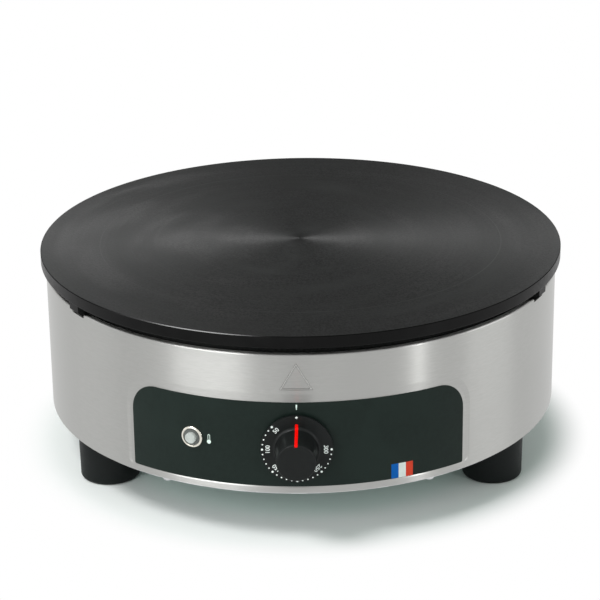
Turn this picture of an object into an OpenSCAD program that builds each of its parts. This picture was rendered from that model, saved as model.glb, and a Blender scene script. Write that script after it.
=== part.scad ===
// Electric crepe maker: a round cast-iron griddle on a stainless drum with three feet.
// +Z is up and the control panel faces -Y. The origin is on the table, under the middle of the plate.
// Sizes are in millimetres. "Front" angles are counted from -Y, positive towards +X.

/* [Griddle plate] */
// Diameter of the cooking surface
plate_d = 400; // [385:1:440]
// Thickness of the plate at its edge
plate_edge_h = 9.2; // [8:0.1:14]
// Chamfer round the plate's top edge
plate_chamfer = 0.5; // [0.2:0.1:1.5]
// Open gap between the drum's rim and the plate
plate_gap = 6; // [4:0.1:9]
// Wall of the locating ring under the plate
ring_t = 5; // [3:0.5:8]
// Play between the locating ring and the drum's rim
ring_play = 2; // [0.5:0.1:4]
// Width of each lug under the plate
lug_w = 13.5; // [10:0.5:18]
// How far the lugs' ends stay inside the plate's edge
lug_inset = 0.6; // [0.2:0.1:5]
// Number of lugs, each with a notch and a ledge
lug_count = 3; // [3:1:6]
// Turn of the first lug from the front
lug_turn = 64.8; // [60:0.1:70]
// Diameter of the centre boss
boss_d = 30; // [20:1:40]

/* [Drum] */
// Outer diameter of the drum
drum_d = 392.6; // [386:0.2:396]
// Height of the drum
drum_h = 106.9; // [100:0.1:130]
// Thickness of the sheet
sheet_t = 1.2; // [0.8:0.1:1.5]
// Width of the flange round the rim
rim_flange_w = 4; // [3:0.1:5]
// Width of the flange round the foot of the drum
foot_flange_w = 15.3; // [13:0.1:20]
// Width of the rim notches
notch_w = 17; // [15:0.5:30]
// Depth of the rim notches
notch_depth = 3.8; // [3:0.1:6]
// Length of the ledges under the lugs, along the wall
ledge_w = 18; // [12:0.5:24]
// Thickness of the ledges
ledge_t = 2; // [1.5:0.1:3]
// How far the ledges reach in from the wall
ledge_reach = 12; // [10:0.5:14]
// Height of the ledges' upright leg
ledge_leg = 22; // [14:1:28]

/* [Control panel] */
// Width of the panel skin, measured straight across
panel_w = 238; // [200:1:250]
// Height of the panel skin
panel_h = 65.4; // [60:0.1:72]
// Height of the panel skin's lower edge above the foot of the drum
panel_lift = 5; // [3:0.1:10]
// Radius of the skin's upper corners
panel_top_r = 17.5; // [8:0.5:24]
// Radius of the skin's lower corners
panel_foot_r = 3; // [1:0.5:8]
// Thickness of the skin
panel_t = 0.8; // [0.5:0.1:1]
// Depth of the recess in the drum
recess_depth = 1.2; // [1.1:0.1:2]
// Border of the recess beyond the skin's sides
border_side = 5.2; // [2:0.1:8]
// Border of the recess above the skin
border_top = 6.2; // [2:0.1:8]
// Border of the recess below the skin
border_foot = 1; // [0.6:0.1:2]
// Width of the embossed triangle
triangle_w = 23.6; // [16:0.1:26]
// Height of the embossed triangle
triangle_h = 20.5; // [14:0.1:21]
// Width of the triangle's line
triangle_line = 1.6; // [1:0.1:2.5]
// Rise of the triangle above the drum
triangle_rise = 0.4; // [0.2:0.1:0.8]
// Distance from the recess to the triangle
triangle_gap = 3.5; // [3:0.1:6]

/* [Thermostat knob] */
// Height of the knob's axis above the foot of the drum
knob_lift = 36.1; // [33:0.1:40]
// Diameter of the dial skirt
skirt_d = 51.5; // [46:0.5:56]
// Thickness of the dial skirt
skirt_t = 2.3; // [1.8:0.1:3]
// Gap between the panel and the back of the skirt
skirt_gap = 2; // [1.8:0.1:3]
// Diameter of the grip where it meets the skirt
grip_base_d = 30.4; // [27:0.1:34]
// Diameter of the grip's face
grip_face_d = 28.4; // [26:0.1:30]
// Length of the grip in front of the skirt
grip_l = 23; // [18:0.5:26]
// Wall of the knob
knob_wall = 2.6; // [2:0.1:3.5]
// Width of the red pointer
pointer_w = 2.25; // [1.5:0.05:3]
// Rise of the pointer above the knob
pointer_rise = 0.3; // [0.1:0.1:0.6]
// Diameter of the knob's metal sleeve
sleeve_d = 9; // [8:0.1:10]

/* [Thermostat] */
// Diameter of the shaft
shaft_d = 6; // [5:0.1:6.5]
// Radial play of the shaft in its bush
shaft_play = 0.05; // [0.02:0.01:0.1]
// Depth of the flat on the shaft
shaft_flat = 1.4; // [0.8:0.1:1.8]
// Outer diameter of the bush
bush_d = 10; // [9:0.5:12]
// Width of the thermostat's front plate
bracket_w = 42; // [38:1:48]
// Height of the thermostat's front plate
bracket_h = 30; // [26:1:34]
// Thickness of the thermostat's front plate
bracket_t = 1.5; // [1:0.1:2.5]
// Depth of the thermostat's case
thermostat_l = 28; // [22:1:34]
// Distance between the two fixing screws
screw_pitch = 28; // [26:1:30]
// Diameter of the thermostat's screws
screw_d = 4; // [3:0.5:4]

/* [Pilot lamp] */
// Turn of the lamp from the front, towards -X
lamp_turn = 22.5; // [20:0.5:28]
// Height of the lamp's axis above the foot of the drum
lamp_lift = 37.8; // [30:0.1:45]
// Diameter of the chrome bezel
bezel_d = 16.5; // [15.5:0.1:19]
// Rise of the bezel above the panel
bezel_h = 1.8; // [1.2:0.1:3]
// Diameter of the bezel's well
well_d = 13; // [12:0.1:13.5]
// Diameter of the lens
lens_d = 9.6; // [8:0.1:10.5]
// Rise of the lens above the bezel
lens_rise = 1.4; // [0.8:0.1:2.5]
// Diameter of the lamp's barrel
barrel_d = 12; // [11.5:0.1:13]
// Length of the lamp behind the panel
lamp_l = 30; // [24:1:36]

/* [Heating] */
// Diameter of the element tube
element_d = 8; // [6.5:0.1:9]
// Diameter of the outer heating ring, on its centre line
outer_ring_d = 300; // [280:1:310]
// Diameter of the inner heating ring, on its centre line
inner_ring_d = 180; // [150:1:190]
// Distance of each element end from the middle plane
end_x = 26; // [20:1:34]
// Thickness of the clamp disc
clamp_t = 2; // [1.5:0.1:4]
// Diameter of the circle of clamp studs
stud_ring_d = 240; // [236:1:244]
// Diameter of the clamp studs
stud_d = 6; // [5:0.5:8]
// Thickness of the insulation pad
pad_t = 22; // [15:0.5:26]
// Thickness of the reflector pan
pan_t = 1.5; // [1:0.1:2]
// Diameter of the tie rod
rod_d = 8; // [6:0.5:10]
// Diameter of the thermostat bulb
bulb_d = 6; // [4:0.1:6.2]
// Length of the thermostat bulb
bulb_l = 80; // [60:1:90]

/* [Base and feet] */
// Thickness of the base plate
base_t = 1.5; // [1:0.1:2.5]
// Step between the drum and the base plate's edge
base_inset = 2; // [1.5:0.1:3]
// Number of screws in the base plate
base_screw_count = 6; // [6:3:12]
// Diameter of the base plate's screws
base_screw_d = 4; // [3:0.5:5]
// Height of the feet
foot_h = 36.4; // [30:0.1:50]
// Diameter of a foot at its top
foot_top_d = 46; // [42:0.5:48]
// Diameter of a foot at its sole
foot_sole_d = 45; // [41:0.5:46]
// Rounding of the sole's edge
foot_edge_r = 3; // [1:0.5:4]
// Depth of the recess in a foot
foot_recess_h = 16; // [13:0.5:22]
// Diameter of the foot bolts
foot_bolt_d = 8; // [6:0.5:8]

/* [Cable entry] */
// Height of the cable gland above the foot of the drum
gland_lift = 32; // [25:1:45]
// Diameter of the gland's thread
gland_thread_d = 20; // [18:0.5:22]
// Width across the gland's flats
gland_af = 24; // [23.5:0.5:28]
// Length of the gland outside the drum
gland_l = 27; // [24:0.5:30]
// Diameter of the cable bore
cable_bore_d = 10.5; // [8:0.5:12]

/* [Hidden] */
$fn = 96;

// Clearances
touch = 0.05;      // between faces that only meet
hole_play = 0.15;  // round a screw in its hole
washer_play = 0.2; // round a bolt in its washer
pad_play = 0.3;    // round the insulation pad in its pan
eps = 1;           // overshoot of cutting shapes

// Heights
base_z = foot_h;
drum_z = base_z + base_t;
rim_z = drum_z + drum_h;
ledge_z = rim_z - notch_depth;
plate_z = rim_z + plate_gap;
surface_z = plate_z + plate_edge_h;

// Drum
drum_r = drum_d / 2;
inner_r = drum_r - sheet_t;
rim_inner_r = drum_r - rim_flange_w;
floor_r = drum_r - recess_depth;
floor_inner_r = floor_r - sheet_t;
skin_r = floor_r + panel_t;

// Griddle plate
ring_edge = 5;            // least width of the plate outside its locating ring
ring_r = min(rim_inner_r - ring_play, plate_d / 2 - ring_edge);
lug_r = plate_d / 2 - lug_inset;
ring_lift = 1.5;          // between the locating ring and the ledges
ring_h = plate_gap + notch_depth - ring_lift;
boss_h = element_d + 2 * touch;
stud_boss_d = stud_d + 12;
stud_depth = 12;          // of the threads in the bosses

// Heating stack, from the plate downwards
element_z = plate_z - touch - element_d / 2;
clamp_z = plate_z - boss_h;
pad_z = clamp_z - clamp_t;
pan_z = pad_z - pad_t - pan_t;
clamp_r = outer_ring_d / 2 + 12;
ledge_outer_r = inner_r - 2 * touch;
pan_clearance = 11.2;     // between the pan and the ledges
pan_wall_r = ledge_outer_r - ledge_reach - pan_clearance - pan_t;
pad_r = pan_wall_r - pad_play;
stud_tail = 12;           // of a stud below the clamp disc
stud_nut_h = 5;
stud_nut_af = stud_d + 4;
rod_nut_h = 6.5;
rod_nut_af = rod_d + 5;
washer_t = 1.6;
rod_washer_d = rod_d + 12;
rod_depth = 12;
rod_tail = washer_t + rod_nut_h + 2;
sheath_d = element_d + 2;
pin_d = 5;
pin_l = 8;
sheath_l = 5;             // of an element end below the pan
pin_top_z = pan_z - sheath_l;
pin_z = pin_top_z - pin_l;
link_t = 2;
link_w = 10;
link_z = pin_top_z - 4;   // underside of the link bars
outer_end_y = sqrt(pow(outer_ring_d / 2, 2) - pow(end_x, 2));
inner_end_y = sqrt(pow(inner_ring_d / 2, 2) - pow(end_x, 2));
bulb_y = -(stud_ring_d / 2 - 2);
bulb_z = plate_z - boss_h / 2;
tube_d = 2;
tube_x = bulb_l / 2 + 16; // where the capillary tube goes down
tube_hole_d = 6;

// Thermostat and knob, as distances in front of the drum's axis
knob_z = drum_z + knob_lift;
bracket_front = sqrt(pow(floor_inner_r, 2) - pow(bracket_w / 2, 2)) - touch;
bracket_back = bracket_front - bracket_t;
case_h = 34;
case_w = 38;
case_back = bracket_back - thermostat_l;
skirt_back = skin_r + skirt_gap;
skirt_front = skirt_back + skirt_t;
face_front = skirt_front + grip_l;
bush_front = skirt_back - 0.9;
sleeve_back = skirt_back + 0.5;
sleeve_l = 16;
shaft_front = sleeve_back + sleeve_l - 1;
grip_edge_r = 0.8;
flare = 2.2;              // of the grip where it meets the skirt
pointer_skirt_r = 19.8;
pointer_face_r = 12.2;
pointer_depth = 1.4;
thermostat_head_d = 7;
thermostat_head_h = 1.6;
tab_l = 8;
tab_x = 10;

// Pilot lamp
lamp_z = drum_z + lamp_lift;
lamp_flange_t = 1;
lamp_nut_af = barrel_d + 4;
lamp_nut_h = 4;

// Base and feet
base_r = drum_r - base_inset;
base_screw_r = base_r - 4.8;
base_head_d = 7.6;
base_head_h = 2.6;
clip_w = 9;
clip_t = 2;
foot_inset = 3.3;         // between a foot and the base plate's edge
foot_ring_r = base_r - foot_inset - foot_top_d / 2;
foot_recess_d = foot_bolt_d + 14;
foot_hole_d = foot_bolt_d + 0.6;
foot_washer_d = foot_bolt_d + 10;
foot_head_af = foot_bolt_d + 5;
foot_head_h = 5.3;
foot_nut_h = 6.5;
foot_turns = [-60, 60, 180];
vent_inner_r = 60;
vent_l = 50;
vent_w = 5;
vent_pitch = 10;

// Cable gland
gland_z = drum_z + gland_lift;
gland_hex_h = 6;
gland_wall = 3.5;
gland_neck_d = gland_thread_d - 2;
gland_end = drum_r + gland_l;
gland_lip_t = 4;
gland_neck_end = gland_end - gland_lip_t - 5;
gland_tail = 8;           // of the gland's thread inside the wall
locknut_t = 5;
locknut_r = gland_af / 2 / cos(30);
locknut_back = sqrt(pow(inner_r, 2) - pow(locknut_r, 2)) - touch;

// Wiring
wire_d = 2.6;
wire_z = drum_z + 50;
block_x = 45;
block_y = inner_r - 67.1;
block_w = 42;
block_l = 18;
block_h = 16;
block_top = drum_z + block_h;
pole_pitch = 12;
earth_x = 96;
earth_y = inner_r - 87.1;
earth_top = drum_z + 14;
tab_back = -(case_back - tab_l);
lamp_back = skin_r - lamp_l;
lamp_wire_x = 2.6;        // of each lamp wire from the lamp's axis
link_wire_y = (outer_end_y + inner_end_y) / 2;

tube_route = [
    [bulb_l / 2, bulb_y, bulb_z], [bulb_l / 2 + 8, bulb_y, bulb_z], [tube_x, bulb_y, clamp_z - 6],
    [tube_x, bulb_y, pan_z - 4], [tube_x - 2, bulb_y - 4, wire_z + 6], [30, -(case_back - 22), knob_z + 14],
    [14, -(case_back - 16), knob_z + 11], [14, -case_back, knob_z + 11]
];
live_in_route = [
    [block_x - pole_pitch, block_y, block_top], [block_x - pole_pitch, block_y, block_top + 14],
    [85, 60, wire_z], [85, -60, wire_z], [tab_x, tab_back + 24, knob_z], [tab_x, tab_back, knob_z]
];
live_out_route = [
    [-tab_x, tab_back, knob_z], [-tab_x, tab_back + 24, knob_z], [-80, -60, wire_z],
    [-80, 60, wire_z], [-end_x, outer_end_y, pin_z - 14], [-end_x, outer_end_y, pin_z]
];
neutral_route = [
    [block_x, block_y, block_top], [block_x, block_y, block_top + 14],
    [end_x, outer_end_y, pin_z - 16], [end_x, outer_end_y, pin_z]
];
earth_route = [
    [block_x + pole_pitch, block_y, block_top], [block_x + pole_pitch, block_y, block_top + 12],
    [earth_x, earth_y, earth_top + 14], [earth_x, earth_y, earth_top]
];
lamp_live_route = concat(lamp_tail(-lamp_wire_x), [
    [-112, -40, wire_z + 8], [-104, 60, wire_z + 8],
    [-end_x, link_wire_y, link_z - 14], [-end_x, link_wire_y, link_z]
]);
lamp_neutral_route = concat(lamp_tail(lamp_wire_x), [
    [-98, -40, wire_z + 10], [-60, 50, wire_z + 10],
    [end_x, link_wire_y, link_z - 14], [end_x, link_wire_y, link_z]
]);

// First two points of a lamp wire, which leaves the lamp's back squarely
function lamp_tail(side) = [
    turned([side, -lamp_back, lamp_z], -lamp_turn),
    turned([side, -lamp_back + 20, lamp_z], -lamp_turn)
];
function turned(p, a) = [p.x * cos(a) - p.y * sin(a), p.x * sin(a) + p.y * cos(a), p.z];
function unit(v) = v / norm(v);

// Catmull-Rom points through a route, so that a wire bends smoothly
function spline(a, b, c, d, t) =
    ((2 * b) + (c - a) * t + (2 * a - 5 * b + 4 * c - d) * t * t + (3 * b - a - 3 * c + d) * t * t * t) / 2;
function smooth(route, steps) = let (last = len(route) - 1) concat([
    for (i = [0:last - 1], s = [0:steps - 1])
        spline(route[max(i - 1, 0)], route[i], route[i + 1], route[min(i + 2, last)], s / steps)
], [route[last]]);
function tangents(path, route) = let (last = len(path) - 1) [
    for (i = [0:last])
        i == 0 ? unit(route[1] - route[0])
        : i == last ? unit(route[len(route) - 1] - route[len(route) - 2])
        : unit(path[i + 1] - path[i - 1])
];
function normals(along, i, before) = i == len(along) ? [] :
    let (now = unit(before - (before * along[i]) * along[i]))
    concat([now], normals(along, i + 1, now));

// A wire or thin tube swept along a route
module swept(route, d, steps = 5, sides = 8) {
    path = smooth(route, steps);
    along = tangents(path, route);
    start = abs(along[0].z) > 0.9 ? [1, 0, 0] : [0, 0, 1];
    across = normals(along, 0, start);
    rings = len(path);
    points = [
        for (i = [0:rings - 1], s = [0:sides - 1]) let (a = 360 * s / sides)
            path[i] + d / 2 * (cos(a) * across[i] + sin(a) * cross(along[i], across[i]))
    ];
    faces = concat(
        [[for (s = [0:sides - 1]) s]],
        [[for (s = [sides - 1:-1:0]) (rings - 1) * sides + s]],
        [for (i = [0:rings - 2], s = [0:sides - 1]) let (n = (s + 1) % sides)
            [i * sides + n, i * sides + s, (i + 1) * sides + s]],
        [for (i = [0:rings - 2], s = [0:sides - 1]) let (n = (s + 1) % sides)
            [i * sides + n, (i + 1) * sides + s, (i + 1) * sides + n]]
    );
    polyhedron(points, faces);
}

// Puts its children, drawn along +Z, on a line that points out of the front at a height
module facing_front(z, from = 0) {
    translate([0, -from, z]) rotate([90, 0, 0]) children();
}

module turned_from_front(a) {
    rotate([0, 0, a]) children();
}

module round_bar(d, bottom, top) {
    translate([0, 0, bottom]) cylinder(d = d, h = top - bottom);
}

module round_tube(outer, inner, bottom, top) {
    difference() {
        round_bar(outer, bottom, top);
        round_bar(inner, bottom - eps, top + eps);
    }
}

module hex_nut(af, bore, bottom, top) {
    difference() {
        translate([0, 0, bottom]) cylinder(d = af / cos(30), h = top - bottom, $fn = 6);
        round_bar(bore, bottom - eps, top + eps);
    }
}

module on_circle(r, count, first = 0) {
    for (i = [0:count - 1])
        rotate([0, 0, first + 360 * i / count]) translate([0, -r, 0]) children();
}

module at_feet() {
    for (a = foot_turns) rotate([0, 0, a]) translate([0, -foot_ring_r, 0]) children();
}

module at_element_ends(y) {
    for (side = [-1, 1]) translate([side * end_x, y, 0]) children();
}

module at_lugs() {
    for (i = [0:lug_count - 1]) turned_from_front(lug_turn + 360 * i / lug_count) children();
}

// Griddle plate with its locating ring, lugs and bosses
module griddle_plate() {
    color([0.16, 0.16, 0.16]) difference() {
        union() {
            rotate_extrude() polygon([
                [0, plate_z], [plate_d / 2, plate_z], [plate_d / 2, surface_z - plate_chamfer],
                [plate_d / 2 - plate_chamfer, surface_z], [0, surface_z]
            ]);
            round_tube(2 * ring_r, 2 * (ring_r - ring_t), plate_z - ring_h, plate_z + 1);
            intersection() {
                round_tube(2 * lug_r, 2 * (ring_r - 1), ledge_z, plate_z + 1);
                at_lugs() translate([-lug_w / 2, -lug_r, ledge_z])
                    cube([lug_w, ring_t + lug_r - ring_r, plate_z + 1 - ledge_z]);
            }
            round_bar(boss_d, clamp_z, plate_z + 1);
            on_circle(stud_ring_d / 2, 3, 60) round_bar(stud_boss_d, clamp_z, plate_z + 1);
        }
        round_bar(rod_d + 2 * touch, clamp_z - eps, clamp_z + rod_depth + 0.5);
        on_circle(stud_ring_d / 2, 3, 60)
            round_bar(stud_d + 2 * touch, clamp_z - eps, clamp_z + stud_depth + 0.5);
    }
}

// Open ring of element tube with two ends that go down through the pan
module element(ring_d, end_y) {
    gap_angle = 2 * asin(end_x / (ring_d / 2));
    translate([0, 0, element_z]) rotate([0, 0, 90 + gap_angle / 2])
        rotate_extrude(angle = 360 - gap_angle) translate([ring_d / 2, 0]) circle(d = element_d);
    at_element_ends(end_y) {
        round_bar(sheath_d, pin_top_z, plate_z - 0.4);
        round_bar(pin_d, pin_z, pin_top_z + 1);
    }
}

module outer_element() {
    color([0.35, 0.33, 0.3]) element(outer_ring_d, outer_end_y);
}

module inner_element() {
    color([0.35, 0.33, 0.3]) element(inner_ring_d, inner_end_y);
}

// Bars that join the two elements' pins on each side
module link_bars() {
    color([0.8, 0.65, 0.3]) for (side = [-1, 1]) difference() {
        translate([side * end_x - link_w / 2, inner_end_y - link_w / 2, link_z])
            cube([link_w, outer_end_y - inner_end_y + link_w, link_t]);
        for (y = [inner_end_y, outer_end_y]) translate([side * end_x, y, 0])
            round_bar(pin_d + 2 * touch, link_z - eps, link_z + link_t + eps);
    }
}

module clamp_disc() {
    color("silver") difference() {
        round_bar(2 * clamp_r, pad_z, clamp_z);
        round_bar(rod_d + 1, pad_z - eps, clamp_z + eps);
        on_circle(stud_ring_d / 2, 3, 60) round_bar(stud_d + 2 * hole_play, pad_z - eps, clamp_z + eps);
        for (y = [inner_end_y, outer_end_y]) at_element_ends(y)
            round_bar(sheath_d + 1, pad_z - eps, clamp_z + eps);
        translate([tube_x, bulb_y, 0]) round_bar(tube_hole_d + 10, pad_z - eps, clamp_z + eps);
    }
}

module clamp_studs() {
    color("silver") on_circle(stud_ring_d / 2, 3, 60)
        round_bar(stud_d, pad_z - stud_tail, clamp_z + stud_depth);
}

module clamp_nuts() {
    color("silver") on_circle(stud_ring_d / 2, 3, 60)
        hex_nut(stud_nut_af, stud_d + 2 * touch, pad_z - stud_nut_h, pad_z);
}

module insulation_pad() {
    bottom = pad_z - pad_t;
    color([0.93, 0.92, 0.88]) difference() {
        round_bar(2 * pad_r, bottom, pad_z);
        round_bar(rod_d + 2, bottom - eps, pad_z + eps);
        on_circle(stud_ring_d / 2, 3, 60) round_bar(stud_nut_af / cos(30) + 2, pad_z - stud_tail - 1, pad_z + eps);
        for (y = [inner_end_y, outer_end_y]) at_element_ends(y)
            round_bar(sheath_d + 1, bottom - eps, pad_z + eps);
        translate([tube_x, bulb_y, 0]) round_bar(tube_hole_d, bottom - eps, pad_z + eps);
        translate([tube_x, bulb_y, 0]) round_bar(tube_hole_d + 10, pad_z - 12, pad_z + eps);
    }
}

// Dish under the insulation pad
module reflector_pan() {
    color([0.75, 0.76, 0.77]) difference() {
        rotate_extrude() polygon([
            [0, pan_z], [pan_wall_r + pan_t, pan_z], [pan_wall_r + pan_t, pad_z], [pan_wall_r, pad_z],
            [pan_wall_r, pan_z + pan_t], [0, pan_z + pan_t]
        ]);
        round_bar(rod_d + 1, pan_z - eps, pan_z + pan_t + eps);
        for (y = [inner_end_y, outer_end_y]) at_element_ends(y)
            round_bar(sheath_d + 1, pan_z - eps, pad_z + eps);
        translate([tube_x, bulb_y, 0]) round_bar(tube_hole_d, pan_z - eps, pan_z + pan_t + eps);
    }
}

// Rod that holds the plate and the pan down to the base plate
module tie_rod() {
    color("silver") round_bar(rod_d, base_z - rod_tail, clamp_z + rod_depth);
}

module tie_rod_nuts() {
    color("silver") for (under = [pan_z, base_z])
        hex_nut(rod_nut_af, rod_d + 2 * touch, under - washer_t - rod_nut_h, under - washer_t);
}

module tie_rod_washers() {
    color("silver") for (under = [pan_z, base_z])
        round_tube(rod_washer_d, rod_d + 2 * washer_play, under - washer_t, under);
}

module thermostat_bulb() {
    color([0.72, 0.45, 0.32]) translate([-bulb_l / 2, bulb_y, bulb_z]) rotate([0, 90, 0])
        cylinder(d = bulb_d, h = bulb_l);
}

// Block that holds the bulb against the underside of the plate
module bulb_clamp() {
    length = 30;
    width = bulb_d + 8;
    color("silver") difference() {
        translate([-length / 2, bulb_y - width / 2, clamp_z]) cube([length, width, boss_h - touch]);
        translate([-length / 2 - eps, bulb_y, bulb_z]) rotate([0, 90, 0])
            cylinder(d = bulb_d + 2 * touch, h = length + 2 * eps);
    }
}

module capillary_tube() {
    color([0.75, 0.48, 0.35]) swept(tube_route, tube_d);
}

// Outline with two large upper corners and two small lower ones, on x = 0
module panel_outline(w, bottom, top, top_r, foot_r) {
    for (side = [-1, 1]) {
        translate([side * (w / 2 - top_r), top - top_r]) circle(r = top_r);
        translate([side * (w / 2 - foot_r), bottom + foot_r]) circle(r = foot_r);
    }
    translate([-w / 2 + top_r, top - top_r - eps]) square([w - 2 * top_r, top_r + eps]);
    translate([-w / 2, bottom + foot_r]) square([w, top - top_r - bottom - foot_r]);
    translate([-w / 2 + foot_r, bottom]) square([w - 2 * foot_r, foot_r + eps]);
}

// Prism of an outline, running out through the front of the drum
module front_prism() {
    rotate([90, 0, 0]) linear_extrude(drum_r + 10) children();
}

// Outline of the recess, grown by a margin
module recess_outline(grow) {
    panel_outline(
        panel_w + 2 * (border_side + grow), drum_z + panel_lift - border_foot - grow,
        drum_z + panel_lift + panel_h + border_top + grow, panel_top_r + border_top + grow,
        panel_foot_r + border_foot + grow
    );
}

module skin_outline() {
    panel_outline(panel_w, drum_z + panel_lift, drum_z + panel_lift + panel_h, panel_top_r, panel_foot_r);
}

// Triangle on its base, with its middle on x = 0
module triangle_outline(inset) {
    slope = atan2(triangle_h, triangle_w / 2);
    base_cut = inset / tan(slope / 2);
    half = triangle_w / 2 - base_cut;
    bottom = drum_z + panel_lift + panel_h + border_top + triangle_gap;
    polygon([[-half, bottom + inset], [half, bottom + inset], [0, bottom + inset + half * tan(slope)]]);
}

module shaft_hole(d, outer) {
    facing_front(knob_z) round_bar(d, outer - 15, outer + eps);
}

module bracket_screw_holes(d) {
    for (side = [-1, 1]) translate([side * screw_pitch / 2, 0, 0]) shaft_hole(d, drum_r);
}

module lamp_hole(d) {
    turned_from_front(-lamp_turn) facing_front(lamp_z) round_bar(d, drum_r - 15, drum_r + eps);
}

// Stainless drum: a rolled wall with flanges, a stamped recess, notches and an embossed triangle
module casing() {
    color([0.74, 0.74, 0.72]) difference() {
        union() {
            rotate_extrude() polygon([
                [drum_r - foot_flange_w, drum_z], [drum_r, drum_z], [drum_r, rim_z], [rim_inner_r, rim_z],
                [rim_inner_r, rim_z - sheet_t], [floor_inner_r, rim_z - sheet_t],
                [floor_inner_r, drum_z + sheet_t], [drum_r - foot_flange_w, drum_z + sheet_t]
            ]);
            intersection() {
                round_tube(2 * (drum_r + triangle_rise), 2 * (drum_r - 0.5), drum_z, rim_z);
                front_prism() difference() {
                    triangle_outline(0);
                    triangle_outline(triangle_line);
                }
            }
        }
        difference() {
            round_tube(2 * inner_r, 2 * (floor_inner_r - eps), drum_z + sheet_t, rim_z - sheet_t);
            front_prism() recess_outline(sheet_t);
        }
        intersection() {
            round_tube(2 * (drum_r + eps), 2 * floor_r, drum_z, rim_z);
            front_prism() recess_outline(0);
        }
        at_lugs() translate([-notch_w / 2, -drum_r - eps, ledge_z]) cube([notch_w, 20, notch_depth + eps]);
        shaft_hole(bush_d + 2 * hole_play, drum_r);
        bracket_screw_holes(screw_d + 2 * hole_play);
        lamp_hole(barrel_d + 2 * hole_play);
        translate([0, 0, gland_z]) rotate([-90, 0, 0])
            round_bar(gland_thread_d + 2 * hole_play, inner_r - 5, drum_r + eps);
        on_circle(base_screw_r, base_screw_count, 30)
            round_bar(base_screw_d + 2 * hole_play, drum_z - eps, drum_z + sheet_t + eps);
    }
}

// Angle brackets inside the wall, under the notches, that the plate's lugs stand on
module plate_ledges() {
    half_angle = asin(ledge_w / 2 / inner_r);
    color("silver") at_lugs() rotate([0, 0, -90 - half_angle]) rotate_extrude(angle = 2 * half_angle) polygon([
        [ledge_outer_r - ledge_reach, ledge_z - ledge_t], [ledge_outer_r - ledge_t, ledge_z - ledge_t],
        [ledge_outer_r - ledge_t, ledge_z - ledge_leg], [ledge_outer_r, ledge_z - ledge_leg],
        [ledge_outer_r, ledge_z], [ledge_outer_r - ledge_reach, ledge_z]
    ]);
}

// Dark skin wrapped round the drum, in its recess
module control_fascia() {
    color([0.13, 0.16, 0.16]) difference() {
        intersection() {
            round_tube(2 * skin_r, 2 * (floor_r + touch), drum_z, rim_z);
            front_prism() skin_outline();
        }
        shaft_hole(bush_d + 1, drum_r);
        bracket_screw_holes(thermostat_head_d + 1);
        lamp_hole(barrel_d + 2 * hole_play);
    }
}

module on_lamp_axis() {
    turned_from_front(-lamp_turn) facing_front(lamp_z) children();
}

module pilot_bezel() {
    color("gainsboro") on_lamp_axis() difference() {
        round_bar(bezel_d, skin_r, skin_r + bezel_h);
        round_bar(well_d, skin_r + lamp_flange_t, skin_r + bezel_h + eps);
        round_bar(barrel_d + 2 * touch, skin_r - eps, skin_r + bezel_h);
    }
}

// Clear dome in the lamp's barrel
module pilot_lens() {
    dome_h = 1;
    dome_r = (pow(lens_d / 2, 2) + dome_h * dome_h) / 2 / dome_h;
    top = skin_r + bezel_h + lens_rise;
    color([0.9, 0.9, 0.85]) on_lamp_axis() intersection() {
        round_bar(lens_d, skin_r + lamp_flange_t, top);
        translate([0, 0, top - dome_r]) sphere(r = dome_r);
    }
}

module pilot_lamp() {
    color("dimgray") on_lamp_axis() round_bar(barrel_d, lamp_back, skin_r + lamp_flange_t);
}

module pilot_nut() {
    corner = lamp_nut_af / 2 / cos(30);
    front = sqrt(pow(floor_inner_r, 2) - pow(corner, 2)) - touch;
    color("silver") on_lamp_axis() hex_nut(lamp_nut_af, barrel_d + 2 * touch, front - lamp_nut_h, front);
}

// Thermostat's front plate, with the bush that carries the shaft
module thermostat_bracket() {
    color("silver") difference() {
        union() {
            translate([-bracket_w / 2, -bracket_front, knob_z - bracket_h / 2])
                cube([bracket_w, bracket_t, bracket_h]);
            facing_front(knob_z) round_bar(bush_d, bracket_back, bush_front);
        }
        facing_front(knob_z) round_bar(shaft_d + 2 * shaft_play, bracket_back - eps, bush_front + eps);
        for (side = [-1, 1]) translate([side * screw_pitch / 2, 0, 0])
            facing_front(knob_z) round_bar(screw_d + 2 * touch, bracket_back - eps, bracket_front + eps);
    }
}

module thermostat_body() {
    color([0.85, 0.82, 0.75]) difference() {
        union() {
            translate([-case_w / 2, -bracket_back, knob_z - case_h / 2]) cube([case_w, thermostat_l, case_h]);
            for (side = [-1, 1]) translate([side * tab_x - 3, -case_back - eps, knob_z - 2])
                cube([6, tab_l + eps, 4]);
        }
        facing_front(knob_z) round_bar(shaft_d + 1, bracket_back - 4, bracket_back + eps);
        for (side = [-1, 1]) translate([side * screw_pitch / 2, 0, 0])
            facing_front(knob_z) round_bar(screw_d + 1, bracket_back - 5, bracket_back + eps);
    }
}

// Pan-head screws that fix the thermostat to the drum, under the knob's skirt
module thermostat_screws() {
    seat = sqrt(pow(floor_r, 2) - pow(screw_pitch / 2 - thermostat_head_d / 2, 2));
    color("silver") for (side = [-1, 1]) translate([side * screw_pitch / 2, 0, 0]) facing_front(knob_z) {
        round_bar(screw_d, bracket_back - 4, seat + 0.5);
        round_bar(thermostat_head_d, seat, seat + thermostat_head_h);
    }
}

// Round section with a flat on one side
module flatted(d, flat, bottom, top) {
    difference() {
        round_bar(d, bottom, top);
        translate([-d, d / 2 - flat, bottom - eps]) cube([2 * d, d, top - bottom + 2 * eps]);
    }
}

module thermostat_shaft() {
    color("silver") facing_front(knob_z) {
        round_bar(shaft_d, bracket_back - 3, sleeve_back);
        flatted(shaft_d, shaft_flat, sleeve_back - 0.5, shaft_front);
    }
}

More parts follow.
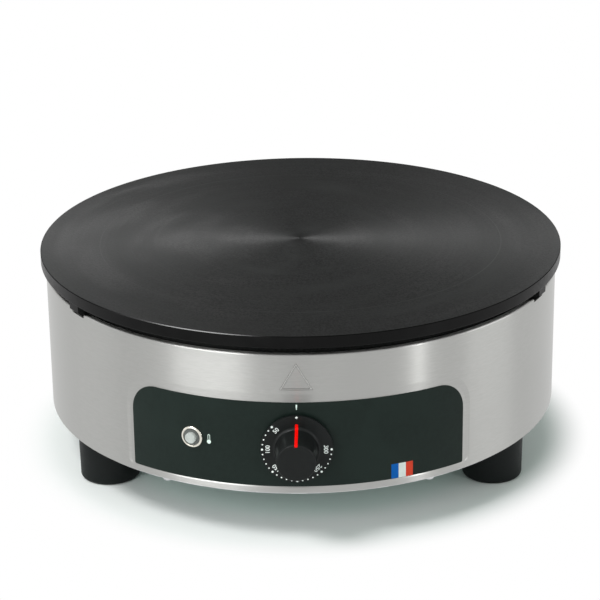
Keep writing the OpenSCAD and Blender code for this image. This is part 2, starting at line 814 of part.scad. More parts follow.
// Metal insert of the knob, bored to fit the flatted shaft
module knob_sleeve() {
    color([0.8, 0.68, 0.4]) facing_front(knob_z) difference() {
        round_bar(sleeve_d, sleeve_back, sleeve_back + sleeve_l);
        flatted(shaft_d + 2 * touch, shaft_flat, sleeve_back - eps, shaft_front + touch);
    }
}

// Section of the pointer, which runs from the skirt over the grip's side to its face
module pointer_section(grow) {
    side_front = grip_face_d / 2 + pointer_rise + grow;
    side_back = grip_base_d / 2 + pointer_rise + grow;
    front = face_front + pointer_rise + grow;
    skirt = skirt_front + pointer_rise + grow;
    inner_side = grip_face_d / 2 - pointer_depth - grow;
    polygon([
        [pointer_face_r - grow, front], [side_front, front], [side_back, skirt + flare],
        [side_back + flare, skirt], [pointer_skirt_r + grow, skirt],
        [pointer_skirt_r + grow, skirt_front - 1 - grow], [inner_side, skirt_front - 1 - grow],
        [inner_side, face_front - pointer_depth - grow], [pointer_face_r - grow, face_front - pointer_depth - grow]
    ]);
}

// The section above, given a width and stood upright over the shaft
module pointer_shape(w, grow) {
    facing_front(knob_z) rotate([90, 0, 90]) translate([0, 0, -w / 2])
        linear_extrude(w) pointer_section(grow);
}

module control_knob() {
    grip_base_r = grip_base_d / 2;
    grip_face_r = grip_face_d / 2;
    hub_r = sleeve_d / 2 + knob_wall;
    hollow_r = grip_face_r - knob_wall;
    color([0.12, 0.13, 0.13]) difference() {
        facing_front(knob_z) rotate_extrude() difference() {
            union() {
                polygon([
                    [0, skirt_back], [skirt_d / 2, skirt_back], [skirt_d / 2, skirt_front],
                    [grip_base_r + flare, skirt_front], [grip_base_r, skirt_front + flare],
                    [grip_face_r, face_front - grip_edge_r], [grip_face_r - grip_edge_r, face_front],
                    [0, face_front]
                ]);
                translate([grip_face_r - grip_edge_r, face_front - grip_edge_r]) circle(r = grip_edge_r);
            }
            translate([grip_base_r + flare, skirt_front + flare]) circle(r = flare);
            translate([hub_r, skirt_back - eps])
                square([hollow_r - hub_r, face_front - knob_wall - skirt_back + eps]);
            translate([0, skirt_back - eps]) square([sleeve_d / 2 + touch, sleeve_l + 0.5 + 2 * touch + eps]);
        }
        pointer_shape(pointer_w + 2 * touch, touch);
    }
}

module knob_pointer() {
    color("red") pointer_shape(pointer_w, 0);
}

module terminal_block() {
    color([0.9, 0.88, 0.82]) translate([block_x - block_w / 2, block_y - block_l / 2, drum_z])
        cube([block_w, block_l, block_h]);
}

module live_wires() {
    color([0.45, 0.27, 0.15]) {
        swept(live_in_route, wire_d);
        swept(live_out_route, wire_d);
    }
}

module neutral_wire() {
    color([0.2, 0.35, 0.75]) swept(neutral_route, wire_d);
}

module lamp_wires() {
    color([0.85, 0.85, 0.85]) {
        swept(lamp_live_route, wire_d / 2);
        swept(lamp_neutral_route, wire_d / 2);
    }
}

module earth_wire() {
    color([0.4, 0.7, 0.2]) swept(earth_route, wire_d);
}

// Welded stud with its nut, on the base plate
module earth_stud() {
    color([0.8, 0.65, 0.3]) translate([earth_x, earth_y, 0]) {
        round_bar(4, drum_z, earth_top);
        hex_nut(7, 4 - 2 * touch, drum_z + 1.5, drum_z + 4.7);
        round_bar(10, drum_z, drum_z + 1.6);
    }
}

// Bottom plate with three fields of vents
module base_plate() {
    color([0.72, 0.74, 0.75]) difference() {
        round_bar(2 * base_r, base_z, drum_z);
        round_bar(rod_d + 1, base_z - eps, drum_z + eps);
        at_feet() round_bar(foot_hole_d, base_z - eps, drum_z + eps);
        on_circle(base_screw_r, base_screw_count, 30)
            round_bar(base_screw_d + 2 * hole_play, base_z - eps, drum_z + eps);
        for (a = [0, 120, 240], i = [-3:3]) rotate([0, 0, a]) translate([i * vent_pitch, 0, 0]) {
            for (y = [vent_inner_r, vent_inner_r + vent_l]) translate([0, -y, 0])
                round_bar(vent_w, base_z - eps, drum_z + eps);
            translate([-vent_w / 2, -vent_inner_r - vent_l, base_z - eps])
                cube([vent_w, vent_l, base_t + 2 * eps]);
        }
    }
}

module base_screws() {
    color("silver") on_circle(base_screw_r, base_screw_count, 30) {
        round_bar(base_head_d, base_z - base_head_h, base_z);
        round_bar(base_screw_d, base_z - 1, drum_z + sheet_t + clip_t + 3);
    }
}

module clip_nuts() {
    color([0.3, 0.3, 0.3]) on_circle(base_screw_r, base_screw_count, 30) difference() {
        translate([-clip_w / 2, -clip_w / 2 + 2, drum_z + sheet_t]) cube([clip_w, clip_w, clip_t]);
        round_bar(base_screw_d + 2 * touch, drum_z, drum_z + sheet_t + clip_t + eps);
    }
}

module feet() {
    sole_r = foot_sole_d / 2;
    color([0.08, 0.08, 0.08]) at_feet() rotate_extrude() {
        polygon([
            [foot_recess_d / 2, 0], [sole_r - foot_edge_r, 0], [sole_r, foot_edge_r],
            [foot_top_d / 2, foot_h], [foot_hole_d / 2, foot_h], [foot_hole_d / 2, foot_recess_h],
            [foot_recess_d / 2, foot_recess_h]
        ]);
        translate([sole_r - foot_edge_r, foot_edge_r]) circle(r = foot_edge_r);
    }
}

module foot_bolts() {
    head_top = foot_recess_h - washer_t;
    color("silver") at_feet() {
        round_bar(foot_bolt_d, head_top - 1, drum_z + foot_nut_h + 2);
        translate([0, 0, head_top - foot_head_h])
            cylinder(d = foot_head_af / cos(30), h = foot_head_h, $fn = 6);
    }
}

module foot_washers() {
    color("silver") at_feet()
        round_tube(foot_washer_d, foot_bolt_d + 2 * washer_play, foot_recess_h - washer_t, foot_recess_h);
}

module foot_nuts() {
    color("silver") at_feet() hex_nut(foot_head_af, foot_bolt_d + 2 * touch, drum_z, drum_z + foot_nut_h);
}

// Puts its children, drawn along +Z from the drum's axis, on the cable gland's line at the back
module on_gland_axis() {
    translate([0, 0, gland_z]) rotate([-90, 0, 0]) children();
}

module gland_body() {
    color([0.1, 0.1, 0.1]) on_gland_axis() difference() {
        union() {
            round_bar(gland_thread_d, locknut_back - gland_tail, drum_r + 1);
            translate([0, 0, drum_r]) cylinder(d = gland_af / cos(30), h = gland_hex_h, $fn = 6);
            round_bar(gland_neck_d, drum_r + 1, gland_neck_end);
        }
        round_bar(cable_bore_d, drum_r - 40, gland_neck_end + eps);
    }
}

module gland_seal() {
    color([0.2, 0.2, 0.2]) on_gland_axis()
        round_tube(gland_neck_d - 1, cable_bore_d, gland_neck_end, gland_end - gland_lip_t);
}

module gland_cap() {
    start = drum_r + gland_hex_h + 0.5;
    hex_h = 10;
    dome_d = gland_af - 1;
    lip_r = 3;
    color([0.1, 0.1, 0.1]) on_gland_axis() difference() {
        union() {
            translate([0, 0, start]) cylinder(d = gland_af / cos(30), h = hex_h, $fn = 6);
            round_bar(dome_d, start + 1, gland_end - lip_r);
            rotate_extrude() {
                translate([0, gland_end - lip_r - 1]) square([dome_d / 2 - lip_r, lip_r + 1]);
                translate([dome_d / 2 - lip_r, gland_end - lip_r]) circle(r = lip_r);
            }
        }
        round_bar(gland_neck_d + 2 * touch, start - eps, gland_end - gland_lip_t);
        round_bar(cable_bore_d, start, gland_end + eps);
    }
}

module gland_locknut() {
    color([0.1, 0.1, 0.1]) on_gland_axis()
        hex_nut(gland_af, gland_thread_d + 2 * touch, locknut_back - locknut_t, locknut_back);
}

griddle_plate();
outer_element();
inner_element();
link_bars();
clamp_disc();
clamp_studs();
clamp_nuts();
insulation_pad();
reflector_pan();
tie_rod();
tie_rod_nuts();
tie_rod_washers();
thermostat_bulb();
bulb_clamp();
capillary_tube();
casing();
plate_ledges();
control_fascia();
pilot_bezel();
pilot_lens();
pilot_lamp();
pilot_nut();
thermostat_bracket();
thermostat_body();
thermostat_screws();
thermostat_shaft();
knob_sleeve();
control_knob();
knob_pointer();
terminal_block();
live_wires();
neutral_wire();
lamp_wires();
earth_wire();
earth_stud();
base_plate();
base_screws();
clip_nuts();
feet();
foot_bolts();
foot_washers();
foot_nuts();
gland_body();
gland_seal();
gland_cap();
gland_locknut();
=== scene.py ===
import math

import bpy
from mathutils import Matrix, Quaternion, Vector


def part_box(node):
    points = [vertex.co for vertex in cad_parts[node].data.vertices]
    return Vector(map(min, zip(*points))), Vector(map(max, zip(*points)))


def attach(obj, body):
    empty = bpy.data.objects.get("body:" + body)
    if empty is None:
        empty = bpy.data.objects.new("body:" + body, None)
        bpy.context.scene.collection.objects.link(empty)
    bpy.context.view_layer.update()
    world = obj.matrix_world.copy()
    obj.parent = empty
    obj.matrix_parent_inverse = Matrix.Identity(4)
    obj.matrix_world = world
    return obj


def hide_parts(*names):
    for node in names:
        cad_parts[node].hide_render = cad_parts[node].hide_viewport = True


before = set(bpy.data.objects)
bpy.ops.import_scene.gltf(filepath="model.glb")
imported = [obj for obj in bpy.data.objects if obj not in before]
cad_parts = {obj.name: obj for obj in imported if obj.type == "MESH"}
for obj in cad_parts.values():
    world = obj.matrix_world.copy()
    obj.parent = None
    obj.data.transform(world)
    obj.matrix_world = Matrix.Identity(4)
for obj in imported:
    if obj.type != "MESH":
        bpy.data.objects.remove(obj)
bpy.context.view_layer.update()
mm = 0.001
spare = 1 * mm        # how far a cutting tool reaches past what it cuts
mostly = 0.9          # a face looks along an axis when its normal has more than this share of it
print("loaded", len(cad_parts), "CAD nodes")


# Working in object and edit mode

def objectMode():
    if bpy.context.mode != "OBJECT":
        bpy.ops.object.mode_set(mode="OBJECT")


def selectOnly(*pieces):
    objectMode()
    bpy.ops.object.select_all(action="DESELECT")
    for piece in pieces:
        piece.select_set(True)
    bpy.context.view_layer.objects.active = pieces[0]


def editAll(piece, kind="VERT", action="SELECT"):
    selectOnly(piece)
    bpy.ops.object.mode_set(mode="EDIT")
    bpy.ops.mesh.select_mode(type=kind)
    bpy.ops.mesh.select_all(action=action)


def pick(piece, kind, parts, wanted):
    editAll(piece, kind, "DESELECT")
    objectMode()
    for part in getattr(piece.data, parts):
        part.select = wanted(part)
    bpy.ops.object.mode_set(mode="EDIT")


def pickFaces(piece, wanted):    # wanted gets a face's middle and its normal
    pick(piece, "FACE", "polygons", lambda face: wanted(face.center, face.normal))


def pickEdges(piece, wanted):    # wanted gets an edge's two ends
    pick(piece, "EDGE", "edges", lambda edge: wanted(*[piece.data.vertices[i].co for i in edge.vertices]))


def pickPoints(piece, wanted):
    pick(piece, "VERT", "vertices", lambda spot: wanted(spot.co))


def near(a, b, slack=0.05 * mm):
    return abs(a - b) < slack


def bothAt(slack=0.05 * mm, **place):    # for pickEdges: an edge whose two ends have this x, y or z
    return lambda a, b: all(near(getattr(end, axis), value, slack) for end in (a, b) for axis, value in place.items())


def shift(x=0, y=0, z=0):
    bpy.ops.transform.translate(value=(x, y, z))


def grow(x=1, y=1, z=1, centre=(0, 0, 0)):
    bpy.ops.transform.resize(value=(x, y, z), center_override=centre)


def pull(x=0, y=0, z=0):
    bpy.ops.mesh.extrude_region_move(TRANSFORM_OT_translate={"value": (x, y, z)})


def inset(width):
    bpy.ops.mesh.inset(thickness=width, use_even_offset=True)


def bevel(width, steps=2, corners=False):
    bpy.ops.mesh.bevel(offset=width, segments=steps, affect="VERTICES" if corners else "EDGES")


def openUp():    # takes the picked faces away
    bpy.ops.mesh.delete(type="FACE")


def tidyFaces(piece, merge=0.002 * mm):
    editAll(piece)
    bpy.ops.mesh.remove_doubles(threshold=merge)
    bpy.ops.mesh.normals_make_consistent(inside=False)
    objectMode()


def newPiece(name, size=(1, 1, 1)):
    piece = bpy.context.object
    piece.name = name
    piece.data.name = name
    piece.scale = size
    selectOnly(piece)
    bpy.ops.object.transform_apply(location=True, rotation=True, scale=True)
    return piece


def block(name, low, high):
    objectMode()
    bpy.ops.mesh.primitive_cube_add(size=1, location=[(a + b) / 2 for a, b in zip(low, high)])
    return newPiece(name, [b - a for a, b in zip(low, high)])


def roundBar(name, radius, low, high, along="Z", at=(0, 0), sides=64):
    # at gives the other two coordinates, in the order x, y, z
    objectMode()
    middle = (low + high) / 2
    place = (at[0], at[1], middle) if along == "Z" else (at[0], middle, at[1])
    bpy.ops.mesh.primitive_cylinder_add(vertices=sides, radius=radius, depth=high - low, location=place,
                                        rotation=(0 if along == "Z" else math.pi / 2, 0, 0))
    return newPiece(name)


def uprightPlane(name, low, high, depth):    # low and high are (x, z); it faces -Y
    objectMode()
    bpy.ops.mesh.primitive_plane_add(size=1, location=((low[0] + high[0]) / 2, depth, (low[1] + high[1]) / 2),
                                     rotation=(math.pi / 2, 0, 0))
    return newPiece(name, (high[0] - low[0], high[1] - low[1], 1))


def roundedPlate(name, low, high, topRadius, footRadius, depth, steps=12):
    plate = uprightPlane(name, low, high, depth)
    pickPoints(plate, lambda spot: spot.z > (low[1] + high[1]) / 2)
    bevel(topRadius, steps, corners=True)
    pickPoints(plate, lambda spot: near(spot.z, low[1]))
    bevel(footRadius, steps, corners=True)
    objectMode()
    return plate


def copyOf(piece, name):
    twin = piece.copy()
    twin.data = piece.data.copy()
    twin.name = name
    bpy.context.scene.collection.objects.link(twin)
    return twin


def joined(name, pieces):
    selectOnly(*pieces)
    if len(pieces) > 1:
        bpy.ops.object.join()
    whole = bpy.context.object
    whole.name = name
    whole.data.name = name
    return whole


def applied(piece, kind, **settings):
    selectOnly(piece)
    change = piece.modifiers.new(kind.lower(), kind)
    for key, value in settings.items():
        setattr(change, key, value)
    bpy.ops.object.modifier_apply(modifier=change.name)
    return piece


def combine(piece, tools, how="DIFFERENCE"):
    tool = joined("tool", tools)
    applied(piece, "BOOLEAN", operation=how, solver="EXACT", object=tool)
    bpy.data.objects.remove(tool)


def turned(piece, degrees, axis="Z", centre=(0, 0, 0)):
    # with no window the operator turns the other way, so the angle is negated
    editAll(piece)
    bpy.ops.transform.rotate(value=-math.radians(degrees), orient_axis=axis, center_override=centre)
    objectMode()
    return piece


def finished(piece, finish, node=None, body="stand", smoothUnder=35):    # node is the CAD node that it stands for
    selectOnly(piece)
    bpy.ops.object.shade_smooth_by_angle(angle=math.radians(smoothUnder))
    applied(piece, "WEIGHTED_NORMAL", weight=100, keep_sharp=True)
    piece.data.materials.clear()
    piece.data.materials.append(finishes[finish])
    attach(piece, body)
    if node:
        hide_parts(node)
    return piece


def inMetres(look, *others):    # a piece's lengths; others are its turns, shares and lists
    return {key: value if key in others else value * mm for key, value in look.items()}


# Flat drawing of the drum's wall: x runs along the wall, y is the depth under its outside, z is up

drumLow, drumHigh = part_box("casing")
drumRadius = drumHigh.x


def along(degrees):
    return math.radians(degrees) * drumRadius


def rollUp(piece, strip=2.5 * mm, least=4):
    xs = [spot.co.x for spot in piece.data.vertices]
    width = max(xs) - min(xs)
    strips = max(least, round(width / strip))
    editAll(piece)
    for i in range(1, strips):
        bpy.ops.mesh.select_all(action="SELECT")
        bpy.ops.mesh.bisect(plane_co=(min(xs) + width * i / strips, 0, 0), plane_no=(1, 0, 0))
    objectMode()
    applied(piece, "SIMPLE_DEFORM", deform_method="BEND", deform_axis="Z", angle=width / drumRadius)
    editAll(piece)
    shift(y=-drumRadius)
    objectMode()


# Shared effects, each a node group that is placed in a material with its own values

def feed(tree, value, socket):    # value is a number, a colour, or what another node puts out
    if isinstance(value, bpy.types.NodeSocket):
        tree.links.new(value, socket)
    else:
        socket.default_value = value


def put(tree, kind, feeds=None, **settings):
    node = tree.nodes.new(kind)
    for key, value in settings.items():
        setattr(node, key, value)
    for key, value in (feeds or {}).items():
        feed(tree, value, node.inputs[key])
    return node


def mathNode(tree, operation, *values):
    return put(tree, "ShaderNodeMath", dict(enumerate(values)), operation=operation).outputs[0]


def times(tree, a, b):
    return mathNode(tree, "MULTIPLY", a, b)


def vectorNode(tree, operation, *values, result="Vector"):
    return put(tree, "ShaderNodeVectorMath", dict(enumerate(values)), operation=operation).outputs[result]


def combineNode(tree, **values):
    return put(tree, "ShaderNodeCombineXYZ", {label.upper(): value for label, value in values.items()}).outputs[0]


def spanNode(tree, value, start, end, low=0.0, high=1.0):
    span = {"Value": value, "From Min": start, "From Max": end, "To Min": low, "To Max": high}
    return put(tree, "ShaderNodeMapRange", span, interpolation_type="SMOOTHSTEP").outputs["Result"]


def noiseNode(tree, place, scale=1, detail=2, warp=0):
    noise = {"Vector": place, "Scale": scale, "Detail": detail, "Distortion": warp}
    return put(tree, "ShaderNodeTexNoise", noise).outputs[0]


def flatNode(tree, place):    # the place without its height
    return vectorNode(tree, "MULTIPLY", place, (1, 1, 0))


def radiusNode(tree, flat):
    return vectorNode(tree, "LENGTH", flat, result="Value")


def grainNodes(tree, given, place):    # even grain, and a second coarser one mixed into it
    fine = noiseNode(tree, place, given["Scale"], 3)
    coarse = noiseNode(tree, place, times(tree, given["Scale"], 0.12))
    part = times(tree, coarse, given["Coarse"])
    rest = times(tree, fine, mathNode(tree, "SUBTRACT", 1, given["Coarse"]))
    return mathNode(tree, "ADD", part, rest)


def brushingNodes(tree, given, place):    # straight or rolled lines: low scale along them, high across
    stretch = combineNode(tree, x=given["Along X"], y=given["Along Y"], z=given["Across Z"])
    lines = vectorNode(tree, "MULTIPLY", place, stretch)
    narrow = times(tree, noiseNode(tree, lines), 0.6)
    broad = times(tree, noiseNode(tree, lines, 0.45), 0.4)
    return mathNode(tree, "ADD", narrow, broad)


def turningNodes(tree, given, place):    # rings left by a lathe, round the Z axis
    outward = times(tree, radiusNode(tree, flatNode(tree, place)), given["Rings"])
    return put(tree, "ShaderNodeTexNoise", {"W": outward, "Scale": 1, "Detail": 4}, noise_dimensions="1D").outputs[0]


def arcsNodes(tree, given, place):    # broad sweeps round the plate, a little off its centre
    flat = flatNode(tree, vectorNode(tree, "ADD", place, combineNode(tree, x=given["Lean"], y=given["Lean"])))
    heading = vectorNode(tree, "NORMALIZE", flat)
    around = put(tree, "ShaderNodeVectorMath", {0: heading, "Scale": given["Around"]}, operation="SCALE").outputs[0]
    across = combineNode(tree, z=times(tree, radiusNode(tree, flat), given["Across"]))
    return noiseNode(tree, vectorNode(tree, "ADD", around, across))


def bandNodes(tree, given, place):    # 0 inside one radius and 1 outside another, round the Z axis
    return spanNode(tree, radiusNode(tree, flatNode(tree, place)), given["Inner"], given["Outer"])


def rubbedNodes(tree, given, place):    # 1 near one spot on the piece, 0 away from it
    spot = combineNode(tree, x=given["At X"], y=given["At Y"], z=given["At Z"])
    away = vectorNode(tree, "DISTANCE", place, spot, result="Value")
    return spanNode(tree, away, given["Inner"], given["Outer"], 1.0, 0.0)


def patchesNodes(tree, given, place):    # soft patches: handling marks, oil, stains, dust
    return spanNode(tree, noiseNode(tree, place, given["Scale"], 5, given["Warp"]), given["Low"], given["High"])


def spangleNodes(tree, given, place):    # crystal flakes of zinc
    cells = put(tree, "ShaderNodeTexVoronoi", {"Vector": place, "Scale": given["Scale"]})
    return put(tree, "ShaderNodeSeparateColor", {0: cells.outputs["Color"]}).outputs[0]


def effectGroup(name, draw, output, inputs):
    group = bpy.data.node_groups.new(name, "ShaderNodeTree")
    for label, value in inputs.items():
        group.interface.new_socket(label, in_out="INPUT", socket_type="NodeSocketFloat").default_value = value
    group.interface.new_socket(output, in_out="OUTPUT", socket_type="NodeSocketFloat")
    given, out = group.nodes.new("NodeGroupInput"), group.nodes.new("NodeGroupOutput")
    place = put(group, "ShaderNodeTexCoord").outputs["Object"]
    group.links.new(draw(group, given.outputs, place), out.inputs[output])
    return group


effects = {name: effectGroup(name, *rest) for name, *rest in (
    ("grain", grainNodes, "Grain", {"Scale": 900, "Coarse": 0.3}),
    ("brushing", brushingNodes, "Lines", {"Along X": 8, "Along Y": 8, "Across Z": 2600}),
    ("turning", turningNodes, "Rings", {"Rings": 900}),
    ("arcs", arcsNodes, "Arcs", {"Across": 38, "Around": 1.3, "Lean": 0.012}),
    ("band", bandNodes, "Mask", {"Inner": 0.19, "Outer": 0.2}),
    ("rubbed", rubbedNodes, "Mask", {"At X": 0, "At Y": 0, "At Z": 0, "Inner": 0.02, "Outer": 0.06}),
    ("patches", patchesNodes, "Mask", {"Scale": 12, "Low": 0.45, "High": 0.7, "Warp": 0.3}),
    ("spangle", spangleNodes, "Flakes", {"Scale": 90}),
)}


finishes = {}    # every material by its name


def newMaterial(name, colour, rough, metal=0.0, **sockets):
    material = finishes[name] = bpy.data.materials.new(name)
    material.use_nodes = True
    shader = shaderOf(material)
    shader.inputs["Base Color"].default_value = (*colour, 1)
    shader.inputs["Roughness"].default_value = rough
    shader.inputs["Metallic"].default_value = metal
    names = {"gloss": "Specular IOR Level", "index": "IOR", "anisotropy": "Anisotropic", "turn": "Anisotropic Rotation",
             "coatRough": "Coat Roughness", "sheen": "Sheen Weight", "clear": "Transmission Weight"}
    for key, value in sockets.items():
        shader.inputs[names[key]].default_value = value
    return material


def shaderOf(material):
    return material.node_tree.nodes["Principled BSDF"]


def intoShader(material, label, value):
    material.node_tree.links.new(value, shaderOf(material).inputs[label])


def effect(material, name, **values):    # values are named as the group's inputs, with no space
    node = put(material.node_tree, "ShaderNodeGroup", node_tree=effects[name])
    for socket in node.inputs:
        key = socket.name.replace(" ", "")
        key = key[0].lower() + key[1:]
        if key in values:
            socket.default_value = values[key]
    return node.outputs[0]


def grey(tone):
    return (tone, tone, tone)


def colourMix(tree, share, *colours):    # a colour is three numbers, or what another mix puts out
    mix = put(tree, "ShaderNodeMix", {"Factor": share}, data_type="RGBA")
    for socket, colour in zip([socket for socket in mix.inputs if socket.type == "RGBA"], colours):
        feed(tree, (*colour, 1) if isinstance(colour, tuple) else colour, socket)
    return [socket for socket in mix.outputs if socket.type == "RGBA"][0]


def tint(material, mask, colourA, colourB, low=0.3, high=0.7):
    tree = material.node_tree
    result = colourMix(tree, spanNode(tree, mask, low, high), colourA, colourB)
    intoShader(material, "Base Color", result)
    return result


def polish(material, mask, roughA, roughB, low=0.3, high=0.7):
    intoShader(material, "Roughness", spanNode(material.node_tree, mask, low, high, roughA, roughB))


def relief(material, height, depth):    # depth is in mm
    bump = put(material.node_tree, "ShaderNodeBump", {"Distance": depth * mm, "Strength": 1, "Height": height})
    intoShader(material, "Normal", bump.outputs[0])


def turnedGrain(material):    # streaks of gloss follow circles round the Z axis
    tangent = put(material.node_tree, "ShaderNodeTangent", direction_type="RADIAL", axis="Z")
    intoShader(material, "Tangent", tangent.outputs[0])


def seasonedIronMaterial():
    iron = newMaterial("seasonedIron", grey(0.012), 0.52, gloss=0.035, anisotropy=0.78, turn=0.25)
    tree = iron.node_tree
    fine = effect(iron, "grain", scale=760, coarse=0.1)
    rings = effect(iron, "turning", rings=300)
    sweeps = effect(iron, "arcs", across=34, around=1.3, lean=0.014)
    oil = effect(iron, "patches", scale=9, low=0.4, high=0.75, warp=0.8)
    base = tint(iron, fine, grey(0.005), grey(0.0185), 0.36, 0.64)
    base = tint(iron, sweeps, base, grey(0.024), 0.4, 0.85)
    base = tint(iron, oil, base, (0.012, 0.0117, 0.0113), 0.0, 2.6)
    # a pale line where the batter's rim has worn the plate
    wornIn = effect(iron, "band", inner=0.1535, outer=0.1543)
    wornOut = effect(iron, "band", inner=0.1546, outer=0.1554)
    worn = times(tree, mathNode(tree, "SUBTRACT", wornIn, wornOut), sweeps)
    base = tint(iron, worn, base, grey(0.04), 0.2, 1.0)
    # a darker spot round the plate's middle, fading out by 16 mm: painted shade where the turned gloss falls away at
    # the centre
    tint(iron, effect(iron, "band", inner=0.004, outer=0.016), grey(0.009), base, 0.0, 1.0)
    streaks = mathNode(tree, "ADD", times(tree, sweeps, 0.6), times(tree, fine, 0.3))
    polish(iron, mathNode(tree, "ADD", streaks, times(tree, rings, 0.1)), 0.46, 0.58, 0.35, 0.65)
    relief(iron, fine, 0.09)
    turnedGrain(iron)


def turnedEdgeMaterial():
    edge = newMaterial("turnedEdge", grey(0.002), 0.36, gloss=0.12)
    fine = effect(edge, "grain", scale=1400, coarse=0.35)
    rub = effect(edge, "patches", scale=22, low=0.45, high=0.8, warp=0.5)
    tint(edge, rub, tint(edge, fine, grey(0.0005), grey(0.002)), grey(0.004), 0.0, 1.0)
    polish(edge, fine, 0.28, 0.44)
    relief(edge, fine, 0.03)


def turnedCornerMaterial():    # the plate's dark corner, rubbed bright where the batter spreader slides off
    corner = newMaterial("turnedCorner", grey(0.002), 0.4, gloss=0.03, coatRough=0.22)
    fine = effect(corner, "grain", scale=1400, coarse=0.35)
    tint(corner, fine, grey(0.001), grey(0.003))
    polish(corner, fine, 0.35, 0.5)
    rubbed = effect(corner, "rubbed", atX=-0.084, atY=-0.181, atZ=0.16, inner=0.025, outer=0.075)
    intoShader(corner, "Coat Weight", rubbed)
    relief(corner, fine, 0.01)


def brushedDrumMaterial():
    steel = newMaterial("brushedDrum", (0.42, 0.425, 0.41), 0.35, 1, anisotropy=0.96, turn=0.25)
    lines = effect(steel, "brushing", alongX=190, alongY=190, acrossZ=2600)
    hands = effect(steel, "patches", scale=7, low=0.5, high=0.8, warp=0.5)
    brushed = tint(steel, lines, (0.4, 0.402, 0.388), (0.44, 0.442, 0.428))
    tint(steel, hands, brushed, (0.408, 0.41, 0.397), 0.0, 1.0)
    polish(steel, lines, 0.32, 0.37)
    relief(steel, lines, 0.002)
    turnedGrain(steel)


def galvanisedSheetMaterial():
    sheet = newMaterial("galvanisedSheet", (0.6, 0.62, 0.63), 0.4, 1)
    flakes = effect(sheet, "spangle", scale=110)
    stains = effect(sheet, "patches", scale=14, low=0.5, high=0.8)
    tint(sheet, stains, tint(sheet, flakes, (0.5, 0.52, 0.53), (0.68, 0.7, 0.71)), (0.52, 0.52, 0.5), 0.0, 1.0)
    polish(sheet, flakes, 0.32, 0.5)
    relief(sheet, effect(sheet, "grain", scale=1200), 0.01)


def lampLensMaterial():
    glass = newMaterial("lampLens", (0.72, 0.74, 0.72), 0.25, clear=0.35, index=1.49)
    relief(glass, effect(glass, "spangle", scale=1100), 0.08)


def plainMaterial(name, colour, rough, metal, scale, depth, spread, wear=0.0, **sockets):
    # an even finish with fine grain, slight patches and a little variation of tone and gloss
    material = newMaterial(name, colour, rough, metal, **sockets)
    grain = effect(material, "grain", scale=scale, coarse=0.4)
    patches = effect(material, "patches", scale=30, low=0.4, high=0.75)
    darker, lighter, worn = (tuple(min(1, part * (1 + change)) for part in colour)
                             for change in (-spread, spread, spread + wear))
    tint(material, patches, tint(material, grain, darker, lighter), worn, 0.0, 1.0)
    polish(material, grain, rough * 0.85, min(1, rough * 1.2))
    relief(material, grain, depth)


# colour, roughness, metal, scale of the grain, its depth in mm, spread of tone
plainFinishes = {
    "panelPaint": ((0.01, 0.0168, 0.0143), 0.34, 0, 2600, 0.006, 0.15),
    "paleInk": ((0.78, 0.9, 0.84), 0.5, 0, 3000, 0.004, 0.08),
    "whiteInk": ((0.9, 0.92, 0.91), 0.45, 0, 3000, 0.004, 0.04),
    "blueInk": ((0.0, 0.092, 0.378), 0.5, 0, 3000, 0.004, 0.08),
    "redInk": ((0.63, 0.051, 0.024), 0.5, 0, 3000, 0.004, 0.08),
    "greyInk": ((0.68, 0.715, 0.7), 0.5, 0, 3000, 0.004, 0.04),
    "knobPlastic": ((0.008, 0.009, 0.009), 0.34, 0, 2200, 0.012, 0.2),
    "pointerRed": ((0.95, 0.004, 0.002), 0.4, 0, 2600, 0.006, 0.08),
    "bezelChrome": ((0.74, 0.72, 0.64), 0.12, 1, 2600, 0.003, 0.06),
    "lampCollar": ((0.11, 0.115, 0.11), 0.4, 0, 2600, 0.01, 0.12),
    "footPlastic": ((0.008, 0.0095, 0.0095), 0.5, 0, 1500, 0.03, 0.2),
    "zincPlate": ((0.6, 0.61, 0.62), 0.3, 1, 1800, 0.01, 0.1),
    "copperTube": ((0.62, 0.3, 0.18), 0.35, 1, 1500, 0.01, 0.15),
    "brassPart": ((0.66, 0.5, 0.22), 0.32, 1, 1500, 0.01, 0.12),
    "elementSheath": ((0.22, 0.2, 0.18), 0.5, 1, 900, 0.03, 0.25),
    "fibrePad": ((0.78, 0.76, 0.7), 0.95, 0, 600, 0.5, 0.1),
    "steatite": ((0.72, 0.68, 0.58), 0.55, 0, 900, 0.03, 0.06),
    "brownSleeve": ((0.16, 0.07, 0.03), 0.45, 0, 1400, 0.02, 0.12),
    "blueSleeve": ((0.03, 0.1, 0.42), 0.45, 0, 1400, 0.02, 0.12),
    "whiteSleeve": ((0.72, 0.72, 0.7), 0.5, 0, 1400, 0.02, 0.06),
    "greenSleeve": ((0.12, 0.38, 0.06), 0.45, 0, 1400, 0.02, 0.12),
    "blackPhosphate": (grey(0.03), 0.6, 0.6, 1500, 0.02, 0.2),
    "polyamide": ((0.014, 0.014, 0.015), 0.42, 0, 1500, 0.03, 0.2),
    "sealRubber": (grey(0.03), 0.7, 0, 1200, 0.04, 0.2),
}
extras = {name: {"gloss": 0.12} for name in ("panelPaint", "blueInk", "redInk", "greyInk", "footPlastic")}
extras.update(knobPlastic={"gloss": 0.16}, pointerRed={"gloss": 0.08})
extras.update(elementSheath={"wear": 0.3}, fibrePad={"sheen": 0.2})

for makeMaterial in (seasonedIronMaterial, turnedEdgeMaterial, turnedCornerMaterial, brushedDrumMaterial,
                     galvanisedSheetMaterial, lampLensMaterial):
    makeMaterial()
for name, values in plainFinishes.items():
    plainMaterial(name, *values, **extras.get(name, {}))
print("materials made")

